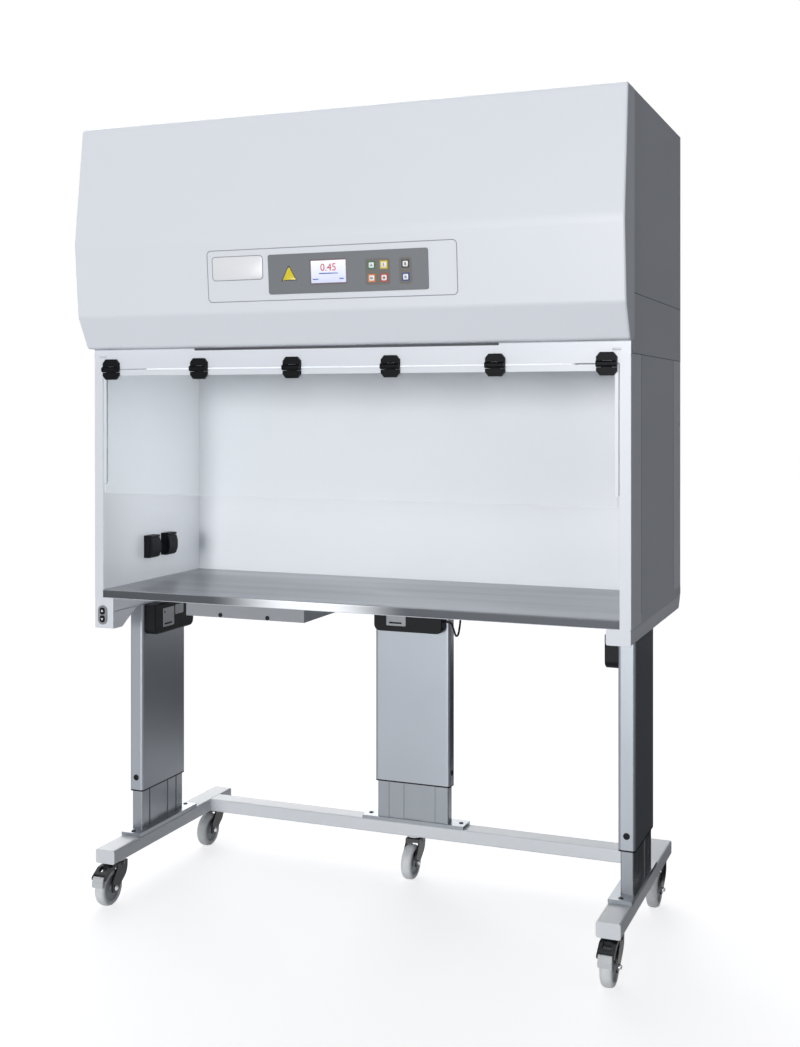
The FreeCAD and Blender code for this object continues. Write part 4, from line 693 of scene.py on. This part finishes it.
def brushed_stainless(name, code, roughness, painted_highlight_at):
    """Belt-brushed steel. Its folded front edge has a painted reflection: darker towards its
    ends, with one painted highlight across it.
    """
    made, tree = new_material(name)
    place = add_node(tree, "ShaderNodeTexCoord").outputs["Object"]
    grain_at = add_node(tree, "ShaderNodeMapping", {"Vector": place, "Scale": [4, 900, 900]})
    grain = add_node(tree, "ShaderNodeTexNoise", {
        "Vector": grain_at.outputs[0], "Scale": 1, "Detail": 4})
    streak_at = add_node(tree, "ShaderNodeMapping", {"Vector": place, "Scale": [0.7, 14, 14]})
    streaks = add_node(tree, "ShaderNodeTexNoise", {
        "Vector": streak_at.outputs[0], "Scale": 1, "Detail": 5})
    strength = add_node(tree, "ShaderNodeMapRange", {
        "Value": streaks.outputs["Fac"], "From Min": 0.3, "From Max": 0.7})
    tone = add_node(tree, "ShaderNodeMix", {
        "Factor": strength.outputs[0], "A": darker(code, 0.72), "B": colour(code)},
        data_type="RGBA")
    # The front edge's tone is a painted reflection: a painted highlight round one place along X,
    # and dark steel towards both ends.
    parts = add_node(tree, "ShaderNodeSeparateXYZ", {"Vector": place})
    aside = add_node(tree, "ShaderNodeMath", {0: parts.outputs["X"], 1: -painted_highlight_at},
                     operation="ADD")
    apart = add_node(tree, "ShaderNodeMath", {0: aside.outputs[0]}, operation="ABSOLUTE")
    gleam = add_node(tree, "ShaderNodeMapRange", {
        "Value": apart.outputs[0], "From Min": painted_highlight_inner, "From Max": painted_highlight_outer,
        "To Min": 1.0, "To Max": 0.0}, interpolation_type="SMOOTHSTEP")
    painted_reflection_tone = add_node(tree, "ShaderNodeMix", {
        "Factor": gleam.outputs[0], "A": colour("#4b4e52"), "B": colour("#cfd2d6")},
        data_type="RGBA")
    looks = add_node(tree, "ShaderNodeSeparateXYZ", {
        "Vector": add_node(tree, "ShaderNodeTexCoord").outputs["Normal"]})
    on_edge = add_node(tree, "ShaderNodeMapRange", {
        "Value": looks.outputs["Y"], "From Min": -0.75, "From Max": -0.95})
    tone = add_node(tree, "ShaderNodeMix", {
        "Factor": on_edge.outputs[0], "A": tone.outputs["Result"],
        "B": painted_reflection_tone.outputs["Result"]}, data_type="RGBA")
    spread = add_node(tree, "ShaderNodeMapRange", {
        "Value": grain.outputs["Fac"], "To Min": roughness - 0.08, "To Max": roughness + 0.10})
    bump = add_node(tree, "ShaderNodeBump", {
        "Height": grain.outputs["Fac"], "Strength": 0.15, "Distance": 0.0003})
    metal = add_node(tree, "ShaderNodeBsdfPrincipled", {
        "Base Color": tone.outputs["Result"], "Metallic": 1, "Roughness": spread.outputs[0],
        "Anisotropic": 0.5, "Normal": bump.outputs[0]})
    surface(tree, metal)
    return made


finish_node("worktop", brushed_stainless("brushed_stainless_304", "#b0b3b7", 0.34, -0.10))


# Switch: an oval grey plate in the bracket with two black rocker caps, one for up and one for
# down, each marked with a pale moulded arrow.

switch_grey = moulded_plastic("grey_polycarbonate", "#8d9094", 0.35, 1.0, 0.2)
mark_white = moulded_plastic("white_marking_ink", "#dfe1e3", 0.6, 0.5, 0.05)
finish_node("switch_plate", switch_grey)
arrow_half = 0.0042
arrow_drop = 0.002
for way in ("up", "down"):
    finish_node(way + "_button", abs_black)
    cap_low, cap_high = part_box(way + "_button")
    centre = (cap_low + cap_high) / 2
    on_cap = facing((centre.x, cap_low.y, centre.z), (1, 0, 0), (0, -1, 0))
    tip = arrow_half if way == "up" else -arrow_half
    base = -arrow_drop if way == "up" else arrow_drop
    arrow = [(-tip, base), (tip, base), (0, tip)]
    mark = plate(way + "_arrow", arrow, on_cap, -sunk, stuck, mark_white, fine_edge)
    settle(mark, way + "_button")


# Chamber: the liner and the slotted diffuser above it are sprayed in a gloss white that wipes
# clean, so they mirror softly. The flip-lid sockets on the left wall are black ABS, and the
# lamp has a ribbed opal cover.

liner_paint = powder_coat("gloss_liner_enamel", "#dde0e5", 0.22, 2.0, 0.12, 0.02, 0.3)
for name in ("chamber_liner", "diffuser"):
    finish_node(name, liner_paint)
for name in ("power_sockets", "front_socket_lid", "rear_socket_lid"):
    finish_node(name, abs_black)

lamp_made, tree = new_material("opal_lamp_cover")
lamp_place = add_node(tree, "ShaderNodeTexCoord").outputs["Object"]
ribs = add_node(tree, "ShaderNodeTexWave", {"Vector": lamp_place, "Scale": 60},
                bands_direction="X")
ribbed = add_node(tree, "ShaderNodeBump", {
    "Height": ribs.outputs["Fac"], "Strength": 0.2, "Distance": 0.0005})
opal = add_node(tree, "ShaderNodeBsdfPrincipled", {
    "Base Color": colour("#f2f4f6"), "Roughness": 0.3, "Subsurface Weight": 0.2,
    "Emission Color": colour("#f4f8ff"), "Emission Strength": 0.6, "Normal": ribbed.outputs[0]})
surface(tree, opal)
finish_node("chamber_lamp", lamp_made)


def chamber_light(name, width, depth, energy, place, turn):
    """A rectangular light inside the chamber, which rises with the cabinet."""
    light = bpy.data.objects.new(name, bpy.data.lights.new(name, "AREA"))
    scene.collection.objects.link(light)
    light.data.shape = "RECTANGLE"
    light.data.size = width
    light.data.size_y = depth
    light.data.energy = energy
    light.location = place
    light.rotation_euler = turn
    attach(light, "cabinet")
    return light


# One light is the lamp's own. The other stands at the right end, shines to the left and
# brightens the liner as a window beside the photographer would.
lamp_low, lamp_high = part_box("chamber_lamp")
chamber_light("chamber_light", width=lamp_high.x - lamp_low.x, depth=0.20, energy=0.4,
              place=(0, lamp_high.y + 0.06, lamp_low.z - 0.004),
              turn=(math.radians(-12), 0, 0))
fill = chamber_light("chamber_fill", width=0.4, depth=0.35, energy=0.6,
                     place=(0.70, -0.05, 1.16), turn=(0, math.radians(90), 0))
fill.data.use_shadow = False
fill.data.spread = math.radians(45)


# Visor: a clear cast acrylic pane held at its top and sides by a thin white frame, and
# hung on six black nylon hinges. The pane shows by its edges and by faint reflections.

acrylic, tree = new_material("cast_acrylic")
acrylic_place = add_node(tree, "ShaderNodeTexCoord").outputs["Object"]
gleam = add_node(tree, "ShaderNodeFresnel", {"IOR": 1.49})
haze = add_node(tree, "ShaderNodeTexNoise", {"Vector": acrylic_place, "Scale": 4, "Detail": 3})
hazy = add_node(tree, "ShaderNodeMapRange", {
    "Value": haze.outputs["Fac"], "To Min": 0.02, "To Max": 0.06})
cover_share = add_node(tree, "ShaderNodeMath", {
    0: gleam.outputs[0], 1: hazy.outputs[0]}, operation="ADD")
pane = add_node(tree, "ShaderNodeBsdfPrincipled", {
    "Base Color": colour("#eef4f6"), "Roughness": 0.06, "IOR": 1.49,
    "Alpha": cover_share.outputs[0]})
surface(tree, pane)
finish_node("visor_panel", acrylic)
hinge_nylon = moulded_plastic("hinge_nylon", "#090b0f", 0.42, 1.1, 0.3, 0.08)
finish_node("hinge_upper_leaves", hinge_nylon)
finish_node("hinge_lower_leaves", hinge_nylon)

# The header above the hinges has a clip near each end and a dark slot under the hood, drawn as a
# strip of painted shadow, and the sides of the body show the seams between their panels as lines
# of painted shadow, as runs given by y and z.
clip_paint = powder_coat("clip_enamel", "#c9cdd4", 0.35, 1.0, 0.1)
header_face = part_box("header")[0].y
clips = []
for x in (-0.722, 0.716):
    on_header = facing((x, header_face, 1.510), (1, 0, 0), (0, -1, 0))
    clips.append(plate("clip", rounded(-0.011, -0.003, 0.011, 0.003, 0.0028), on_header,
                       -sunk, 0.0022, clip_paint, 0.0008))
settle(fuse("header_clips", clips), "cabinet")

# The slot and the seams are drawn in painted shadow, the dark of their gaps.
painted_seam_shadow = powder_coat("seam_shadow_grey", "#43474d", 0.6, 0.8, 0.05)
on_header = facing((0, header_face, 1.5265), (1, 0, 0), (0, -1, 0))
settle(plate("header_slot", rounded(-0.432, -0.003, 0.424, 0.003, 0.0029), on_header,
             -sunk, 0.0004, painted_seam_shadow, fine_edge), "cabinet")
side_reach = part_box("side_panels")[1].x
seam_half = 0.0008
post_front = -0.165
post_rear = 0.264
pan_top = 0.870
header_line = 1.500
band_line = 1.645
rear_end = 0.372
seam_runs = ((post_front, pan_top, post_front, header_line),
             (post_rear, pan_top, post_rear, header_line),
             (-0.280, header_line, rear_end, header_line),
             (-0.262, band_line, rear_end, band_line))
for name, side in (("left", -1), ("right", 1)):
    on_side = facing((side * side_reach, 0, 0), (0, side, 0), (side, 0, 0))
    seams = []
    for y_low, z_low, y_high, z_high in seam_runs:
        near, far = sorted((side * y_low, side * y_high))
        run = oblong(near - seam_half, z_low - seam_half, far + seam_half, z_high + seam_half)
        seams.append(plate("seam", run, on_side, -sunk, stuck, painted_seam_shadow, fine_edge))
    settle(fuse(name + "_side_seams", seams), "cabinet")


# Hood: one deep-drawn cover, sprayed white. A flat panel is let into its middle facet, with a
# bare plate at its left, and the grey control foil carries the screen and six keys.

hood_paint = powder_coat("hood_gloss_enamel", "#dfe3ea", 0.40, 2.2, 0.10, 0.015, 0.05)
finish_node("hood_front_cover", hood_paint)
press = Vector(joints["key_one_press"]["axis"])
panel_low, panel_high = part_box("control_panel")
panel_thick = 0.003
facet_origin = Vector((0, panel_high.y, panel_low.z + panel_thick * press.z))
on_hood = facing(facet_origin, (1, 0, 0), -press)

# A thin groove line of painted shadow runs round the whole panel. Distances on the facet are
# from its origin, at the lower edge of the control foil.
painted_groove_shadow = powder_coat("groove_shadow_grey", "#8a8e94", 0.5, 0.8, 0.05)
panel_rise = 0.101
outline_low = -0.0165
outline_high = panel_rise + 0.0175
outline_reach = 0.345
outline_corner = 0.012
line = 0.0022
corner_steps = 8
outer_line = rounded(-outline_reach, outline_low, outline_reach, outline_high, outline_corner,
                     corner_steps)
inner_line = rounded(-outline_reach + line, outline_low + line, outline_reach - line,
                     outline_high - line, outline_corner - line, corner_steps)
settle(plate("panel_outline", outer_line, on_hood, -0.0004, 0.0004, painted_groove_shadow, 0.0002,
             inner_line), "cabinet")

# The bare plate sits in a rim of the same painted groove shadow.
label_face = powder_coat("bare_plate_enamel", "#e9ebee", 0.32, 1.0, 0.05)
label_left = -0.330
label_right = -0.182
label_foot = 0.039
label_head = 0.102
label_corner = 0.010
rim_width = 0.002
label_outline = rounded(label_left, label_foot, label_right, label_head, label_corner,
                        corner_steps)
label_inner = rounded(label_left + rim_width, label_foot + rim_width, label_right - rim_width,
                      label_head - rim_width, label_corner - rim_width, corner_steps)
settle(plate("label_rim", label_outline, on_hood, -0.0003, 0.0010, painted_groove_shadow, 0.0003,
             label_inner), "cabinet")
settle(plate("label_plate", label_inner, on_hood, -0.0003, 0.0008, label_face), "cabinet")

foil = powder_coat("grey_control_foil", "#6d7175", 0.45, 0.9, 0.10, 0.03)
finish_node("control_panel", foil)
group_foil = powder_coat("key_group_foil", "#66635f", 0.5, 0.9, 0.05)
key_boxes = {}
for number in ("one", "two", "three", "four", "five", "six"):
    key_boxes[number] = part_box("key_" + number)


def on_facet_height(z):
    """How far up the facet a height above the floor lies."""
    return (z - facet_origin.z) / press.y


def around_keys(first, last, margin):
    """The rounded outline round a group of keys."""
    x_low = min(key_boxes[first][0].x, key_boxes[last][0].x) - margin
    x_high = max(key_boxes[first][1].x, key_boxes[last][1].x) + margin
    z_low = min(key_boxes[first][0].z, key_boxes[last][0].z)
    z_high = max(key_boxes[first][1].z, key_boxes[last][1].z)
    return x_low, on_facet_height(z_low) - margin, x_high, on_facet_height(z_high) + margin


def key_hole(number, gap=0.0004):
    """The rounded outline of one key, with a gap round it."""
    low, high = key_boxes[number]
    return rounded(low.x - gap, on_facet_height(low.z) - gap, high.x + gap,
                   on_facet_height(high.z) + gap, 0.0034, 4)


def holed_plate(name, outline, holes, at, low, high, material):
    """A flat plate with several holes."""
    mesh = bmesh.new()
    ring = []
    for points in [outline] + holes:
        verts = [mesh.verts.new(at(a, b, low)) for a, b in points]
        ring += [mesh.edges.new((verts[i - 1], verts[i])) for i in range(len(verts))]
    bmesh.ops.triangle_fill(mesh, edges=ring, use_beauty=True)
    made = bmesh.ops.extrude_face_region(mesh, geom=list(mesh.faces), use_keep_orig=True)["geom"]
    upper = [item for item in made if isinstance(item, bmesh.types.BMVert)]
    bmesh.ops.translate(mesh, vec=at(0, 0, high) - at(0, 0, low), verts=upper)
    bmesh.ops.recalc_face_normals(mesh, faces=mesh.faces)
    return keep_mesh(name, mesh, material)


for name, first, last, members in (
        ("key_group_left", "three", "two", ("one", "two", "three", "four")),
        ("key_group_right", "six", "five", ("five", "six"))):
    outline = rounded(*around_keys(first, last, 0.0065), 0.006, 6)
    holes = [key_hole(number) for number in members]
    settle(holed_plate(name, outline, holes, on_hood, panel_thick - sunk,
                       panel_thick + stuck, group_foil), "cabinet")

# Each key has a coloured frame, a white field and a small mark on it.
key_white = moulded_plastic("white_key_print", "#eceef0", 0.4, 0.6, 0.05)
key_colours = {"one": "#1f6b45", "two": "#e0c81e", "three": "#dd7a2b", "four": "#b8342e",
               "five": "#1a1c1f", "six": "#2a3f86"}
mark_colours = {"one": "#2f5a48", "two": "#8a7a1a", "three": "#6b6660", "four": "#7a4440",
                "five": "#26282b", "six": "#8f949c"}
key_marks = {
    "one": [(-0.003, -0.003), (0.003, -0.001), (0.0005, 0.0035)],
    "two": oblong(-0.0012, -0.0034, 0.0012, 0.0034),
    "three": oblong(-0.0038, -0.0016, 0.0038, 0.0016),
    "four": oblong(-0.003, -0.0024, 0.003, 0.0024),
    "five": [(-0.0014, -0.0036), (0.0014, -0.0036), (0.0020, 0.0036), (-0.0020, 0.0036)],
    "six": oblong(-0.0026, -0.0026, 0.0026, 0.0026),
}
key_top = panel_thick + 0.0006
field_half = 0.0068
for number, (low, high) in key_boxes.items():
    body = "key_" + number
    middle_x = (low.x + high.x) / 2
    middle_up = on_facet_height((low.z + high.z) / 2) + 0.0002
    frame_paint = moulded_plastic("key_frame_" + number, key_colours[number], 0.4, 0.6, 0.05)
    mark_paint = moulded_plastic("key_mark_" + number, mark_colours[number], 0.5, 0.6, 0.05)
    finish_node(body, frame_paint)
    field = rounded(middle_x - field_half, middle_up - field_half, middle_x + field_half,
                    middle_up + field_half, 0.0022, 4)
    settle(plate(body + "_field", field, on_hood, key_top - sunk, key_top + 0.0002,
                 key_white, fine_edge), body)
    mark = [(middle_x + a, middle_up + b) for a, b in key_marks[number]]
    settle(plate(body + "_mark", mark, on_hood, key_top + 0.0001, key_top + 0.0004,
                 mark_paint, fine_edge), body)


def triangle(x, up, half, radius, steps=5):
    """An upright triangle with round corners, as outline points."""
    points = []
    height = half * math.sqrt(3)
    inner = radius * 2
    for start, corner_x, corner_up in (
            (-90 - 60, -half, -height / 3), (-90 + 60, half, -height / 3),
            (90 - 60, 0, height * 2 / 3)):
        length = math.hypot(corner_x, corner_up)
        centre_x = corner_x * (1 - inner / length)
        centre_up = corner_up * (1 - inner / length)
        for step in range(steps + 1):
            angle = math.radians(start + 120 * step / steps)
            points.append((x + centre_x + radius * math.cos(angle),
                           up + centre_up + radius * math.sin(angle)))
    return points


# A plain yellow lens in a black rim, at the left of the screen.
yellow = moulded_plastic("yellow_lens", "#e3cf1c", 0.3, 0.8, 0.05)
lens_rim = moulded_plastic("black_lens_rim", "#232323", 0.4, 0.8, 0.05)
lens_x = -0.107
lens_up = 0.046
settle(plate("lens_rim", triangle(lens_x, lens_up, 0.024, 0.003), on_hood,
             panel_thick - sunk, panel_thick + 0.0006, lens_rim), "cabinet")
settle(plate("lens_face", triangle(lens_x, lens_up, 0.0205, 0.0028), on_hood,
             panel_thick, panel_thick + 0.0009, yellow), "cabinet")

# The screen is a lit panel, bluish at its foot, in a narrow bezel. It shows an air speed in
# generic digits and three bars.
screen_made, tree = new_material("lit_screen")
screen_low, screen_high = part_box("display_screen")
screen_place = add_node(tree, "ShaderNodeTexCoord").outputs["Object"]
screen_parts = add_node(tree, "ShaderNodeSeparateXYZ", {"Vector": screen_place})
across_screen = add_node(tree, "ShaderNodeMapRange", {
    "Value": screen_parts.outputs["Z"], "From Min": screen_low.z, "From Max": screen_high.z})
screen_tone = add_node(tree, "ShaderNodeMix", {
    "Factor": across_screen.outputs[0], "A": colour("#cdd3ee"), "B": colour("#f4f5fb")},
    data_type="RGBA")
screen_face = add_node(tree, "ShaderNodeBsdfPrincipled", {
    "Base Color": screen_tone.outputs["Result"], "Roughness": 0.15,
    "Emission Color": screen_tone.outputs["Result"], "Emission Strength": 0.25})
surface(tree, screen_face)
finish_node("display_screen", screen_made)
screen_base = on_facet_height(screen_low.z)
screen_tall = 0.060
overlap = 0.0015
reveal = 0.002
bezel_outer = rounded(screen_low.x - overlap, screen_base - overlap, screen_high.x + overlap,
                      screen_base + screen_tall + overlap, 0.002, 4)
bezel_inner = rounded(screen_low.x + reveal, screen_base + reveal, screen_high.x - reveal,
                      screen_base + screen_tall - reveal, 0.001, 4)
bezel_paint = moulded_plastic("screen_bezel", "#6f5b60", 0.4, 0.6, 0.05)
settle(plate("screen_bezel", bezel_outer, on_hood, panel_thick - sunk, panel_thick + 0.0005,
             bezel_paint, 0.0002, bezel_inner), "cabinet")


def words(name, text, size, x, up, level, material):
    """Generic digits, as a thin mesh on the facet."""
    curve = bpy.data.curves.new(name, "FONT")
    curve.body = text
    curve.size = size
    curve.align_x = "CENTER"
    curve.resolution_u = 4
    curve.extrude = 0.00015
    holder = bpy.data.objects.new(name, curve)
    scene.collection.objects.link(holder)
    view = bpy.context.evaluated_depsgraph_get()
    mesh = bpy.data.meshes.new_from_object(holder.evaluated_get(view))
    bpy.data.objects.remove(holder)
    for vert in mesh.vertices:
        vert.co = on_hood(x + vert.co.x, up + vert.co.y, level + vert.co.z)
    piece = bpy.data.objects.new(name, mesh)
    scene.collection.objects.link(piece)
    mesh.materials.clear()
    mesh.materials.append(material)
    return piece


screen_red = moulded_plastic("screen_red", "#d8232a", 0.3, 0.6, 0.02)
screen_blue = moulded_plastic("screen_blue", "#5f7fc4", 0.3, 0.6, 0.02)
screen_x = (screen_low.x + screen_high.x) / 2
digit_size = 0.026
settle(words("screen_digits", "0.45", digit_size, screen_x, screen_base + 0.032,
             panel_thick + stuck, screen_red), "cabinet")
bar_tall = 0.003
bar_aside = 0.036
bars = []
for bar_x, bar_rise, bar_half in ((screen_x, 0.024, 0.026), (screen_x - bar_aside, 0.010, 0.008),
                                  (screen_x + bar_aside, 0.010, 0.006)):
    bar_low = screen_base + bar_rise
    bar = oblong(bar_x - bar_half, bar_low, bar_x + bar_half, bar_low + bar_tall)
    bars.append(plate("bar", bar, on_hood, panel_thick, panel_thick + stuck, screen_blue,
                      fine_edge))
settle(fuse("screen_bars", bars), "cabinet")


# Air path: the prefilter under the slotted top, the fan on its sheet deck and the pleated main
# filter. They show through the slots, from above and from below, and in an open view.

felt = powder_coat("non_woven_felt", "#dcdfe1", 0.9, 2.5, 1.0, 0.12)
paper_made = powder_coat("pleated_filter_paper", "#e8e7e2", 0.85, 1.5, 0.5, 0.05)
galvanised = bright_zinc("galvanised_sheet", "#a6aaad", 0.4)
pressed_aluminium = drawn_aluminium("pressed_fan_aluminium", "#b6b9bc", 0.35, 0)
finish_node("prefilter", felt)
finish_node("main_filter", paper_made)
finish_node("fan_deck", galvanised)
finish_node("fan_motor", galvanised)
finish_node("fan_wheel", pressed_aluminium)
